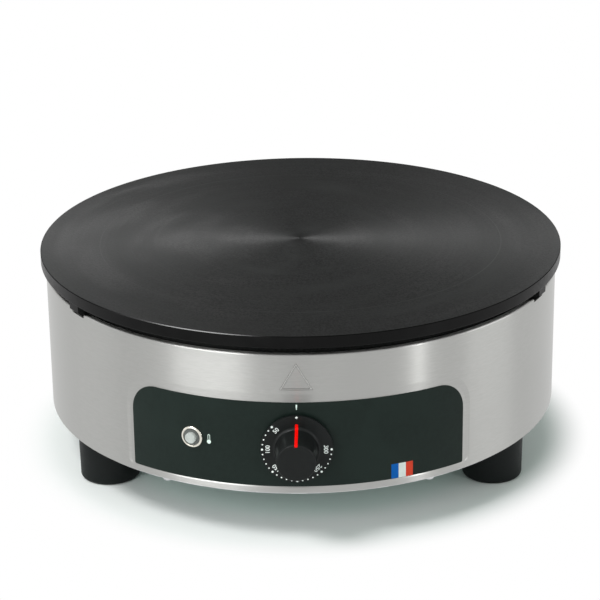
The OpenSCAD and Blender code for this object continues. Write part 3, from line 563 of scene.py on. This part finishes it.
carried = {    # the CAD nodes that stay, by their finish
    "elementSheath": ("outer_element", "inner_element"),
    "brassPart": ("link_bars", "knob_sleeve", "earth_stud"),
    "copperTube": ("thermostat_bulb", "capillary_tube"),
    "galvanisedSheet": ("clamp_disc", "reflector_pan", "plate_ledges", "thermostat_bracket", "base_plate"),
    "zincPlate": ("clamp_studs", "clamp_nuts", "tie_rod", "tie_rod_nuts", "tie_rod_washers", "bulb_clamp", "pilot_nut",
                  "thermostat_screws", "thermostat_shaft", "foot_bolts", "foot_washers", "foot_nuts"),
    "steatite": ("thermostat_body", "terminal_block"),
    "fibrePad": ("insulation_pad",), "lampCollar": ("pilot_lamp",), "blackPhosphate": ("clip_nuts",),
    "brownSleeve": ("live_wires",), "blueSleeve": ("neutral_wire",), "whiteSleeve": ("lamp_wires",),
    "greenSleeve": ("earth_wire",), "sealRubber": ("gland_seal",),
    "polyamide": ("gland_body", "gland_cap", "gland_locknut"),
}
for name, nodes in carried.items():
    for node in nodes:
        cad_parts[node].data.materials.clear()
        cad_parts[node].data.materials.append(finishes[name])


# Places on the front and the holes behind them, shared by the drum, the panel, the knob and the lamp

frontLook = {"knobHeight": 74.0, "lampHeight": 75.7, "lampTurn": -22.5, "screwReach": 14.0}
baseScrewTurns = (30, 90, 150, 210, 270, 330)


def frontHoles(radii, deep, more=()):    # radii: the knob's shaft, the thermostat's two screws, the lamp
    look = inMetres(frontLook, "lampTurn")
    knob, reach = look["knobHeight"], look["screwReach"]
    shaft, screw, lamp = radii
    spots = [(0, knob, shaft), (reach, knob, screw), (-reach, knob, screw),
             (along(look["lampTurn"]), look["lampHeight"], lamp), *more]
    return [roundBar("hole", radius * mm, -spare, deep, "Y", (x, z), sides=48) for x, z, radius in spots]


# Drum: a flat sheet with its flanges, pressed recess and embossed triangle, rolled up and welded at the back

drumLook = {
    "blank": 3.0, "sheet": 1.2, "bendRadius": 1.5, "rimFlange": 4.0, "footFlange": 15.3,
    "recessHalf": 134.4, "recessLow": 41.9, "recessHigh": 114.5, "recessTopRadius": 25.0, "recessFootRadius": 5.2,
    "recessDepth": 0.5, "slope": 3.2, "topSlope": 5.8, "footSlope": 1.0, "footZone": 2.0, "topZone": 20.0,
    "softEdge": 0.3, "edgeZone": 0.1, "aboveFoot": 2.0,
    "triangleSide": 23.4, "triangleLine": 1.05, "triangleRise": 0.35, "triangleRound": 0.42, "triangleFoot": 118.1,
    "triangleSink": 0.15, "crease": 0.18, "creaseDepth": 0.3,
    "notchWidth": 17.0, "notchDepth": 3.1, "notchRound": 0.8, "notchCut": 12.0, "notchTurns": (64.8, -55.2, -175.2),
    "frontHoles": (5.15, 2.15, 6.15), "glandHole": 10.15, "glandHeight": 69.9, "holeCut": 5.0,
    "baseHole": 2.15, "baseHoleIn": 6.8, "flatMerge": 0.02, "rolledMerge": 0.01, "endReach": 0.4,
}


def triangleFrame(name, side, width, low, high):
    middle = drumLook["triangleFoot"] * mm + drumLook["triangleSide"] * mm / (2 * math.sqrt(3))
    frameRing = roundBar(name, side / math.sqrt(3), low, high, "Y", (0, middle), 3)
    pickFaces(frameRing, lambda middle, normal: abs(normal.y) > mostly)
    inset(width)
    bpy.ops.mesh.bridge_edge_loops()
    return frameRing


def pressRecess(sheet, look):
    low, high, depth, slope = look["recessLow"], look["recessHigh"], look["recessDepth"], look["slope"]
    press = roundedPlate("press", (-look["recessHalf"], low), (look["recessHalf"], high),
                         look["recessTopRadius"], look["recessFootRadius"], -spare)
    editAll(press)
    pull(y=spare)
    pickFaces(press, lambda middle, normal: near(middle.y, 0) and abs(normal.y) > mostly)
    inset(slope)
    shift(y=depth)
    # the floor's foot and top are moved, so that the slope is steeper below and longer above
    pickPoints(press, lambda spot: near(spot.y, depth) and spot.z < low + slope + look["footZone"])
    shift(z=look["footSlope"] - slope)
    pickPoints(press, lambda spot: near(spot.y, depth) and spot.z > high - slope - look["topZone"])
    shift(z=slope - look["topSlope"])
    tidyFaces(press)
    combine(sheet, [press])
    tidyFaces(sheet, look["flatMerge"])


def buildDrum():
    look = inMetres(drumLook, "notchTurns", "frontHoles", "glandHole")
    half, foot, rim, thick = math.pi * drumRadius, drumLow.z, drumHigh.z, look["blank"]
    sheet = block("drum", (-half, 0, foot), (half, thick, rim))
    pressRecess(sheet, look)

    pickFaces(sheet, lambda middle, normal: near(middle.y, thick) or near(abs(middle.x), half))
    openUp()
    for height, flange in ((rim, look["rimFlange"]), (foot, look["footFlange"])):
        pickPoints(sheet, lambda spot: near(spot.y, thick) and near(spot.z, height))
        shift(y=flange - thick)
    pickEdges(sheet, lambda a, b: bothAt(y=0, z=foot)(a, b) or bothAt(y=0, z=rim)(a, b))
    bevel(look["bendRadius"], 4)

    zone, start = look["edgeZone"], foot + look["aboveFoot"]
    inRecess = lambda spot: start < spot.z < look["recessHigh"] + zone and abs(spot.x) < look["recessHalf"] + zone
    pickEdges(sheet, lambda a, b: inRecess(a) and inRecess(b) and near(a.y, b.y)
              and (near(a.y, 0) or near(a.y, look["recessDepth"])))
    bevel(look["softEdge"], 2)
    applied(sheet, "SOLIDIFY", thickness=look["sheet"], offset=-1)

    cuts, width = [], look["notchWidth"] / 2
    for turn in look["notchTurns"]:
        cuts.append(block("notch", (along(turn) - width, -spare, rim - look["notchDepth"]),
                          (along(turn) + width, look["notchCut"], rim + spare)))
        pickEdges(cuts[-1], lambda a, b: near(a.x, b.x) and near(a.z, b.z) and a.z < rim)
        bevel(look["notchRound"], 3)
    gland = look["glandHeight"], look["glandHole"]
    cuts += frontHoles(look["frontHoles"], look["holeCut"], [(half, *gland), (-half, *gland)])
    for turn in baseScrewTurns:
        at = along(turn - 180), look["baseHoleIn"]
        cuts.append(roundBar("hole", look["baseHole"], foot - spare, foot + thick, at=at, sides=24))
    # the embossed triangle: a rounded ridge between two creases
    side, line, crease, rise = look["triangleSide"], look["triangleLine"], look["crease"], look["triangleRise"]
    wider = side + 2 * math.sqrt(3) * crease
    cuts.append(triangleFrame("crease", wider, line + 2 * crease, -spare, look["creaseDepth"]))
    combine(sheet, cuts)
    ridge = triangleFrame("ridge", side, line, -rise, look["creaseDepth"] + look["triangleSink"])
    pickEdges(ridge, lambda a, b: bothAt(y=-rise)(a, b) and (a - b).length > side / 3)
    bevel(look["triangleRound"], 3)
    combine(sheet, [ridge], "UNION")

    for end in (-half, half):    # both ends flat again, so that nothing stays inside the weld
        pickPoints(sheet, lambda spot: abs(spot.x - end) < look["endReach"])
        grow(0, 1, 1, (end, 0, 0))
    pickFaces(sheet, lambda middle, normal: near(abs(middle.x), half))
    openUp()
    rollUp(sheet)
    tidyFaces(sheet, look["rolledMerge"])
    finished(sheet, "brushedDrum", "casing")


buildDrum()
print("drum rolled")


# Panel: a thin painted skin in the drum's recess, with its printed marks

panelLook = {
    "halfWidth": 128.3, "foot": 42.9, "top": 108.3, "topRadius": 21.5, "footRadius": 1.3, "depth": 0.1, "sheet": 0.35,
    "holes": (5.5, 4.0, 6.15), "holeCut": 3.0, "edgeRound": 0.15, "cornerZone": 22.0,
    "ink": 0.06, "sunk": 0.01, "merge": 0.001,
    "markTop": 106.8, "markFoot": 102.8, "markTopWidth": 1.2, "markFootWidth": 0.6, "markRound": 0.25,
    "stripeStart": 20.0, "stripeEnd": 24.9, "stripeFoot": 43.1, "stripeTop": 54.5,
    "signTurn": -18.7, "signFoot": 72.1, "signHeight": 7.3, "signHalf": 0.9, "signLine": 0.4, "signRound": 0.89,
    "stemFoot": 2.6, "stemRoundFrom": 4.0, "bulb": 1.55, "bulbDepth": 0.5,
}


def buildPanel():
    look = inMetres(panelLook, "stripeStart", "stripeEnd", "signTurn", "holes")
    half, depth, foot, top = look["halfWidth"], look["depth"], look["foot"], look["top"]
    skin = roundedPlate("panelSkin", (-half, foot), (half, top), look["topRadius"], look["footRadius"], depth)
    applied(skin, "SOLIDIFY", thickness=look["sheet"], offset=-1)
    tidyFaces(skin)
    combine(skin, frontHoles(look["holes"], look["holeCut"]))
    corner = half - look["cornerZone"]
    pickEdges(skin, lambda a, b: bothAt(y=depth)(a, b) and (
        abs(a.x) > corner and abs(b.x) > corner or bothAt(z=foot)(a, b) or bothAt(z=top)(a, b)))
    bevel(look["edgeRound"], 2)
    rollUp(skin)
    tidyFaces(skin, look["merge"])
    finished(skin, "panelPaint", "control_fascia")

    def printed(piece, ink):
        editAll(piece)
        pull(y=-look["ink"])
        tidyFaces(piece, look["merge"])
        rollUp(piece)
        finished(piece, ink)

    start = depth + look["sunk"]
    topHalf, markFoot = look["markTopWidth"] / 2, look["markFoot"]
    mark = uprightPlane("indexMark", (-topHalf, markFoot), (topHalf, look["markTop"]), start)
    pickPoints(mark, lambda spot: near(spot.z, markFoot))
    grow(x=look["markFootWidth"] / look["markTopWidth"])
    editAll(mark)
    bevel(look["markRound"], 3, corners=True)
    printed(mark, "paleInk")

    width = along(look["stripeEnd"] - look["stripeStart"]) / 3
    for i, (colour, ink) in enumerate((("blue", "blueInk"), ("white", "greyInk"), ("red", "redInk"))):
        x = along(look["stripeStart"]) + i * width
        printed(uprightPlane(colour + "Stripe", (x, look["stripeFoot"]), (x + width, look["stripeTop"]), start), ink)

    # thermometer sign: a capsule outline over a filled bulb
    x, z, wide, ball = along(look["signTurn"]), look["signFoot"], look["signHalf"], look["bulb"]
    stem = uprightPlane("signStem", (x - wide, z + look["stemFoot"]), (x + wide, z + look["signHeight"]), start)
    pickPoints(stem, lambda spot: spot.z > z + look["stemRoundFrom"])
    bevel(look["signRound"], 8, corners=True)
    editAll(stem, "FACE")
    inset(look["signLine"])
    openUp()
    bulb = roundBar("signBulb", ball, start, depth + look["bulbDepth"], "Y", (x, z + ball), 32)
    pickFaces(bulb, lambda middle, normal: not near(middle.y, start))
    openUp()
    printed(bulb, "paleInk")
    printed(stem, "paleInk")


buildPanel()
print("panel laid in")


# Griddle plate: cast and turned, with its locating ring, lugs and bosses underneath

plateLook = {
    "edge": 9.2, "topChamfer": 0.5, "underRound": 0.9,
    "ringInset": 9.7, "ringWidth": 5.0, "ringDrop": 8.3, "ringRound": 0.8,
    "lugWidth": 13.5, "lugReach": 199.4, "lugInner": 12.0, "lugFoot": 141.0, "lugCut": 5.0, "lugRound": 0.7,
    "bossFoot": 142.7, "bossRadius": 15.0, "bossRound": 0.8, "studBossRadius": 9.0, "studCircle": 120.0,
    "studTurns": (60, 180, 300), "rodHole": 4.05, "studHole": 3.05, "holeDepth": 12.5,
    "edgeTilt": 0.3, "cornerTilt": 0.95,    # how much the normals of its edge and its corner look up
}


def buildPlate():
    look = inMetres(plateLook, "studTurns", "edgeTilt", "cornerTilt")
    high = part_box("griddle_plate")[1]
    top, under, radius = high.z, high.z - look["edge"], high.x
    plate = roundBar("griddle", radius, under, top, sides=256)
    pickEdges(plate, bothAt(z=top))
    bevel(look["topChamfer"], 1)
    pickEdges(plate, bothAt(z=under))
    bevel(look["underRound"], 3)
    pickFaces(plate, lambda middle, normal: near(middle.z, under) and normal.z < -mostly)
    inset(look["ringInset"] - look["underRound"])
    inset(look["ringWidth"])
    ringMiddle = radius - look["ringInset"] - look["ringWidth"] / 2
    pickFaces(plate, lambda middle, normal: near(middle.z, under) and near(middle.xy.length, ringMiddle, mm))
    pull(z=-look["ringDrop"])
    pickEdges(plate, lambda a, b: bothAt(z=under - look["ringDrop"])(a, b) and near(a.xy.length, b.xy.length))
    bevel(look["ringRound"], 2)

    parts, wide, reach, lugFoot = [], look["lugWidth"] / 2, look["lugReach"], look["lugFoot"]
    for turn in drumLook["notchTurns"]:
        lug = block("lug", (-wide, -reach, lugFoot), (wide, -radius + look["lugInner"], under + spare))
        pickEdges(lug, bothAt(y=-reach, z=lugFoot))
        bevel(look["lugCut"], 1)
        pickEdges(lug, lambda a, b: bothAt(y=-reach)(a, b) and near(a.x, b.x))
        bevel(look["lugRound"], 2)
        parts.append(turned(lug, turn))

    def centreAndStuds(name, middle, stud, low, high, sides):    # one bar in the middle, and three round it
        bars = [roundBar(name, middle, low, high, sides=sides)]
        for turn in look["studTurns"]:
            bars.append(turned(roundBar(name, stud, low, high, at=(0, -look["studCircle"]), sides=sides), turn))
        return bars

    foot = look["bossFoot"]
    for boss in centreAndStuds("boss", look["bossRadius"], look["studBossRadius"], foot, under + spare, 64):
        pickEdges(boss, bothAt(z=foot))
        bevel(look["bossRound"], 2)
        parts.append(boss)
    combine(plate, parts, "UNION")
    holeTop = foot + look["holeDepth"]
    combine(plate, centreAndStuds("hole", look["rodHole"], look["studHole"], foot - spare, holeTop, 32))
    finished(plate, "seasonedIron", "griddle_plate")

    atEdge = lambda middle, normal: abs(normal.z) < look["edgeTilt"] and middle.xy.length > radius - mm
    atCorner = lambda middle, normal: look["edgeTilt"] < normal.z < look["cornerTilt"] and middle.z > top - mm
    for i, (finish, wanted) in enumerate((("turnedEdge", atEdge), ("turnedCorner", atCorner))):
        plate.data.materials.append(finishes[finish])
        pickFaces(plate, wanted)
        plate.active_material_index = i + 1
        bpy.ops.object.material_slot_assign()
    objectMode()


buildPlate()
print("griddle plate cast")


# Knob: dial skirt and grip, hollow at the back round its hub; depths are counted from the drum's axis

knobLook = {
    "skirtBack": 197.9, "skirtFront": 200.2, "face": 223.2, "skirtRadius": 25.75, "gripBase": 15.4, "gripFace": 13.9,
    "fillet": 2.2, "faceEdge": 0.8, "skirtEdge": 0.25, "ringSlack": 0.2,
    "hollow": 11.9, "hub": 7.1, "bore": 4.55, "hollowFloor": 220.6, "boreFloor": 214.5,
    "pointerWidth": 2.25, "pointerRise": 0.3, "pointerIn": 12.4, "pointerOut": 19.5, "pointerRound": 0.85,
    "pointerSheet": 0.8, "pointerEdge": 0.12, "filletSteps": 5, "edgeSteps": 4,
    "dotCircle": 24.6, "dot": 0.55, "bigDot": 0.85, "firstDot": 45, "lastDot": 270, "dotStep": 9,
    "numberCircle": 20.5, "numberSize": 4.4, "numberBold": 0.06, "ink": 0.05, "sunk": 0.01, "merge": 0.0005,
}
dialNumbers = {45: "50", 90: "100", 135: "150", 180: "200", 225: "250", 270: "300"}


def ringPicker(height, slack):    # for pickEdges: rings round the axis that points out of the front at this height
    return lambda depth, radius: lambda a, b: all(
        near(end.y, -depth) and near(math.hypot(end.x, end.z - height), radius, slack) for end in (a, b))


def turnedKnob(look, z):
    front, back, face, rim = look["skirtFront"], look["skirtBack"], look["face"], look["skirtRadius"]
    base, hollow, hub = look["gripBase"], look["hollow"], look["hub"]
    share = look["gripFace"] / base
    ringAt = ringPicker(z, look["ringSlack"])
    knob = roundBar("knob", rim, -front, -back, "Y", (0, z), 128)
    pickFaces(knob, lambda middle, normal: normal.y < -mostly)
    inset(rim - base)
    pull(y=front - face)
    grow(share, 1, share, (0, -face, z))
    pickEdges(knob, ringAt(front, base))
    bevel(look["fillet"], 6)
    pickEdges(knob, ringAt(face, look["gripFace"]))
    bevel(look["faceEdge"], 4)
    pickEdges(knob, lambda a, b: ringAt(front, rim)(a, b) or ringAt(back, rim)(a, b))
    bevel(look["skirtEdge"], 2)

    pickFaces(knob, lambda middle, normal: normal.y > mostly and near(middle.y, -back, look["sunk"]))
    inset(rim - look["skirtEdge"] - hollow)
    inset(hollow - hub)
    inset(hub - look["bore"])
    pull(y=back - look["boreFloor"])
    pickFaces(knob, lambda middle, normal: near(middle.y, -back) and hub < math.hypot(middle.x, middle.z - z) < hollow)
    pull(y=back - look["hollowFloor"])
    tidyFaces(knob)
    finished(knob, "knobPlastic", "control_knob", "knob")


def inlaidPointer(look, z):
    rise, edge, fillet, face = look["pointerRise"], look["faceEdge"], look["fillet"], look["face"]
    corner, wide = look["gripFace"] - edge, look["pointerWidth"]
    # its path as (radius, y): over the face, round the edge, down the side, round the fillet and along the skirt
    path = [(look["pointerIn"], face + rise), (corner, face + rise)]
    for i in range(1, look["edgeSteps"] + 1):
        a = math.radians(90 / look["edgeSteps"] * i)
        path.append((corner + (edge + rise) * math.sin(a), face - edge + (edge + rise) * math.cos(a)))
    bottom, out = look["skirtFront"] + fillet, look["gripBase"] + fillet
    for i in range(look["filletSteps"] + 1):
        a = math.radians(90 - 90 / look["filletSteps"] * i)
        path.append((out - (fillet - rise) * math.sin(a), bottom - (fillet - rise) * math.cos(a)))
    path.append((look["pointerOut"], look["skirtFront"] + rise))
    pointer = uprightPlane("pointer", (-wide / 2, z + path[0][0]), (wide / 2, z + path[1][0]), -path[0][1])
    for (r, y), (nextR, nextY) in zip(path[1:], path[2:]):
        pickEdges(pointer, bothAt(look["sunk"], y=-y, z=z + r))
        pull(y=y - nextY, z=nextR - r)
    ends = z + look["pointerIn"], z + look["pointerOut"]
    pickPoints(pointer, lambda spot: any(near(spot.z, end, look["sunk"]) for end in ends))
    bevel(look["pointerRound"], 5, corners=True)
    applied(pointer, "SOLIDIFY", thickness=look["pointerSheet"], offset=-1, use_even_offset=True)
    tidyFaces(pointer)
    applied(pointer, "BEVEL", width=look["pointerEdge"], segments=2, limit_method="ANGLE", angle_limit=math.radians(50))
    finished(pointer, "pointerRed", "knob_pointer", "knob")


def printedDial(look, z):
    start, upright = -look["skirtFront"] - look["sunk"], (math.pi / 2, 0, 0)

    def printed(piece):
        editAll(piece)
        pull(y=-look["ink"])
        tidyFaces(piece, look["merge"])
        finished(piece, "whiteInk", body="knob")

    dots = []
    for turn in [0] + list(range(look["firstDot"], look["lastDot"] + 1, look["dotStep"])):
        size = look["bigDot"] if turn in dialNumbers or turn == 0 else look["dot"]
        bpy.ops.mesh.primitive_circle_add(vertices=20, radius=size, fill_type="NGON", rotation=upright,
                                          location=(0, start, z + look["dotCircle"]))
        dots.append(turned(newPiece("dot"), -turn, "Y", (0, 0, z)))
    printed(joined("dialDots", dots))
    for turn, number in dialNumbers.items():
        bpy.ops.object.text_add(location=(0, start, z + look["numberCircle"]), rotation=upright)
        text = bpy.context.object
        text.data.body = number
        text.data.size = look["numberSize"]
        text.data.align_x = text.data.align_y = "CENTER"
        text.data.offset = look["numberBold"]
        text.data.resolution_u = 4
        selectOnly(text)
        bpy.ops.object.convert(target="MESH")
        printed(turned(newPiece("dial" + number), -turn, "Y", (0, 0, z)))


def buildKnob():
    look = inMetres(knobLook, "filletSteps", "edgeSteps", "firstDot", "lastDot", "dotStep")
    z = frontLook["knobHeight"] * mm
    turnedKnob(look, z)
    inlaidPointer(look, z)
    printedDial(look, z)


buildKnob()
print("knob turned")


# Pilot lamp: chrome bezel, grey collar in its well, and the lens; made facing -Y, then turned to their place

lampLook = {
    "bezelBack": 195.75, "bezelFront": 197.7, "bezelRadius": 8.25, "bezelRound": 1.2, "well": 6.5, "wellFloor": 196.9,
    "wellRound": 0.3, "bezelBore": 6.05, "collar": 6.4, "collarStep": 5.5, "collarRise": 0.15, "collarDrop": 0.45,
    "collarRound": 0.12, "gap": 0.02, "boreGap": 0.03, "ringSlack": 0.1,
    "lens": 4.0, "lensSide": 199.8, "lensTop": 200.4, "ridge": 0.12,
    "ridges": (0.93, 0.83, 0.73, 0.63, 0.53, 0.43, 0.33, 0.22, 0.11),    # shares of the lens's radius
}


def buildLamp():
    look, turn, z = inMetres(lampLook, "ridges"), frontLook["lampTurn"], frontLook["lampHeight"] * mm
    floor, back, bezelFront, well = look["wellFloor"], look["bezelBack"], look["bezelFront"], look["well"]
    bar = lambda name, radius, front, back, sides=96: roundBar(name, radius, -front, -back, "Y", (0, z), sides)
    facing = lambda y: (lambda middle, normal: normal.y < -mostly and near(middle.y, -y))
    ringAt = ringPicker(z, look["ringSlack"])
    bezel = bar("bezel", look["bezelRadius"], bezelFront, back)
    pickFaces(bezel, facing(bezelFront))
    inset(look["bezelRadius"] - well)
    pull(y=bezelFront - floor)
    pickEdges(bezel, ringAt(bezelFront, look["bezelRadius"]))
    bevel(look["bezelRound"], 6)
    pickEdges(bezel, ringAt(bezelFront, well))
    bevel(look["wellRound"], 3)
    combine(bezel, [bar("hole", look["bezelBore"], bezelFront, back - spare)])
    finished(turned(bezel, turn), "bezelChrome", "pilot_bezel")

    rise, drop, step = look["collarRise"], look["collarDrop"], look["collarStep"]
    collar = bar("lampCollar", look["collar"], floor + rise, floor + look["gap"])
    pickFaces(collar, facing(floor + rise))
    inset(look["collar"] - step)
    pull(y=-drop)
    pickEdges(collar, ringAt(floor + rise + drop, step))
    bevel(look["collarRound"], 2)
    combine(collar, [bar("hole", look["lens"] + look["boreGap"], look["lensTop"], back - spare)])
    finished(turned(collar, turn), "lampCollar")

    lens = bar("lens", look["lens"], look["lensSide"], floor + look["gap"], 64)
    rise = look["lensTop"] - look["lensSide"]
    ball = (look["lens"] ** 2 + rise ** 2) / 2 / rise
    pickFaces(lens, facing(look["lensSide"]))
    last, height, side = look["lens"], 0, 1
    for share in look["ridges"]:    # rings of small ridges on a low dome
        radius = look["lens"] * share
        side = -side
        now = math.sqrt(ball ** 2 - radius ** 2) - (ball - rise) + side * look["ridge"]
        inset(last - radius)
        shift(y=-(now - height))
        last, height = radius, now
    finished(turned(lens, turn), "lampLens", "pilot_lens")


buildLamp()
print("pilot lamp fitted")


# Feet: one moulding with its bolt recess and a groove in its sole, set three times

footLook = {
    "height": 36.4, "topRadius": 23.0, "soleRadius": 22.5, "soleEdge": 3.0, "topEdge": 0.6,
    "soleRim": 2.5, "groove": 0.8, "grooveIn": 16.2, "grooveOut": 17.2, "recess": 11.0, "recessDepth": 16.0,
    "bore": 4.3, "circle": 168.0, "turns": {"Left": -60, "Right": 60, "Rear": 180},
}


def buildFeet():
    look = inMetres(footLook, "turns")
    height, at = look["height"], (0, -look["circle"])
    foot = roundBar("foot", look["topRadius"], 0, height, at=at, sides=96)
    share = look["soleRadius"] / look["topRadius"]
    pickPoints(foot, lambda spot: near(spot.z, 0))
    grow(share, share, 1, (*at, 0))
    pickEdges(foot, bothAt(z=0))
    bevel(look["soleEdge"], 6)
    pickEdges(foot, bothAt(z=height))
    bevel(look["topEdge"], 3)
    pickFaces(foot, lambda middle, normal: normal.z < -0.999)    # the sole alone, without its rounded edge
    inset(look["soleRim"])
    inset(look["groove"])
    pickFaces(foot, lambda middle, normal: near(middle.z, 0)
              and look["grooveIn"] < math.dist(middle.xy, at) < look["grooveOut"])
    pull(z=look["groove"])
    combine(foot, [roundBar("hole", look["recess"], -spare, look["recessDepth"], at=at)])
    combine(foot, [roundBar("hole", look["bore"], -spare, height + spare, at=at, sides=48)])
    for place, turn in look["turns"].items():
        finished(turned(copyOf(foot, "foot" + place), turn), "footPlastic", "feet")
    bpy.data.objects.remove(foot)


buildFeet()


# Base screws: a pan head with a cross recess

screwLook = {"circle": 189.5, "head": 3.8, "headFoot": 33.8, "headTop": 36.4, "headRound": 1.3, "thread": 2.0,
             "threadTop": 44.1, "slot": 0.55, "slotReach": 2.1, "slotDepth": 1.5}


def buildScrews():
    look = inMetres(screwLook)
    y, foot, slot, reach = -look["circle"], look["headFoot"], look["slot"], look["slotReach"]
    screw = roundBar("screw", look["head"], foot, look["headTop"], at=(0, y), sides=48)
    pickEdges(screw, bothAt(z=foot))
    bevel(look["headRound"], 5)
    pickFaces(screw, lambda middle, normal: normal.z > mostly)
    inset(look["head"] - look["thread"])
    pull(z=look["threadTop"] - look["headTop"])
    for wide, long in ((reach, slot), (slot, reach)):
        combine(screw, [block("slot", (-wide, y - long, foot - spare), (wide, y + long, foot + look["slotDepth"]))])
    for number, turn in enumerate(baseScrewTurns, 1):
        finished(turned(copyOf(screw, "baseScrew" + str(number)), turn), "zincPlate", "base_screws")
    bpy.data.objects.remove(screw)


buildScrews()
print("feet and screws fitted")


# Floor, lights and camera

# the floor's tone under the object, darker and greener between two radii, is painted shadow
stageLook = {"floor": 8.0, "floorTone": 0.9, "ambient": (0.34, 0.42, 0.38), "shadowInner": 0.188, "shadowOuter": 0.228,
             "underTone": (0.72, 0.83, 0.79), "underInner": 0.13, "underOuter": 0.185}
lampsLook = {    # turn from the front, positive to the right, lift, distance, width, height, brightness of its face
    "frontLeft": (-38, 20, 2.4, 1.3, 1.3, 3.6),
    "key": (-56, 57, 2.2, 1.1, 0.7, 11),
    "rightStrip": (50, 12, 2.3, 0.04, 1.2, 33),
    "rightSide": (87, 14, 2.4, 1.1, 0.9, 2.1),
    "leftSide": (-96, 12, 2.4, 1.1, 0.9, 0.6),
    "rearLeft": (-168, 14, 2.6, 0.6, 0.4, 9),
    "rearRight": (168, 14, 2.6, 0.6, 0.4, 4),
}
cameraLook = {"place": (37.46, -1691.05, 775.50), "target": (-0.914, -0.117, 108.54), "roll": -0.01315, "lens": 139.73,
              "sensor": 36}


def seenDirectly(tree):    # 1 for what the camera, a mirror or glass looks at
    path = put(tree, "ShaderNodeLightPath").outputs
    seen = mathNode(tree, "ADD", path["Is Camera Ray"], path["Is Glossy Ray"])
    return mathNode(tree, "MINIMUM", mathNode(tree, "ADD", seen, path["Is Transmission Ray"]), 1)


def buildFloor():
    look, tone = stageLook, grey(stageLook["floorTone"])
    bpy.ops.mesh.primitive_plane_add(size=look["floor"])
    floor = newPiece("floor")
    paper = newMaterial("floorPaper", tone, 0.9, gloss=0.1)
    # painted shadow: the floor's colour turns darker and greener under the object, on top of the shadow the lamps cast
    under = effect(paper, "band", inner=look["underInner"], outer=look["underOuter"])
    tint(paper, under, look["underTone"], tone, 0.0, 1.0)
    tree = paper.node_tree
    white = put(tree, "ShaderNodeEmission", {"Color": (1, 1, 1, 1)})
    away = effect(paper, "band", inner=look["shadowInner"], outer=look["shadowOuter"])
    shown = times(tree, away, seenDirectly(tree))
    blend = put(tree, "ShaderNodeMixShader", {0: shown, 1: shaderOf(paper).outputs[0], 2: white.outputs[0]})
    tree.links.new(blend.outputs[0], tree.nodes["Material Output"].inputs["Surface"])
    floor.data.materials.append(paper)


def buildWorld():
    world = bpy.data.worlds.new("studio")
    bpy.context.scene.world = world
    world.use_nodes = True
    tree = world.node_tree
    tree.nodes.clear()
    colour = colourMix(tree, seenDirectly(tree), stageLook["ambient"], (1, 1, 1))
    light = put(tree, "ShaderNodeBackground", {"Color": colour})
    put(tree, "ShaderNodeOutputWorld", {"Surface": light.outputs[0]})


def softbox(name, turn, lift, distance, width, height, strength):
    aim = Vector((0, 0, 0.1))
    a, b = math.radians(turn), math.radians(lift)
    place = aim + distance * Vector((math.sin(a) * math.cos(b), -math.cos(a) * math.cos(b), math.sin(b)))
    bpy.ops.object.light_add(type="AREA", location=place)
    light = bpy.context.object
    light.name = name
    light.data.shape = "RECTANGLE"
    light.data.size, light.data.size_y = width, height
    light.data.energy = strength * math.pi * width * height
    light.rotation_mode = "QUATERNION"
    light.rotation_quaternion = (aim - place).to_track_quat("-Z", "Y")
    light.visible_camera = False


def placeCamera():
    place, target = Vector(cameraLook["place"]) * mm, Vector(cameraLook["target"]) * mm
    bpy.ops.object.camera_add(location=place)
    camera = bpy.context.object
    camera.name = "mainCamera"
    camera.rotation_mode = "QUATERNION"
    camera.rotation_quaternion = (target - place).to_track_quat("-Z", "Y") @ Quaternion((0, 0, 1), cameraLook["roll"])
    camera.data.lens = cameraLook["lens"]
    camera.data.sensor_width = cameraLook["sensor"]
    camera.data.dof.use_dof = False
    bpy.context.scene.camera = camera
    return camera


buildFloor()
buildWorld()
for name, values in lampsLook.items():
    softbox(name, *values)
camera = placeCamera()
bpy.context.scene.view_settings.view_transform = "Standard"
print("stage lit")

selectOnly(camera)
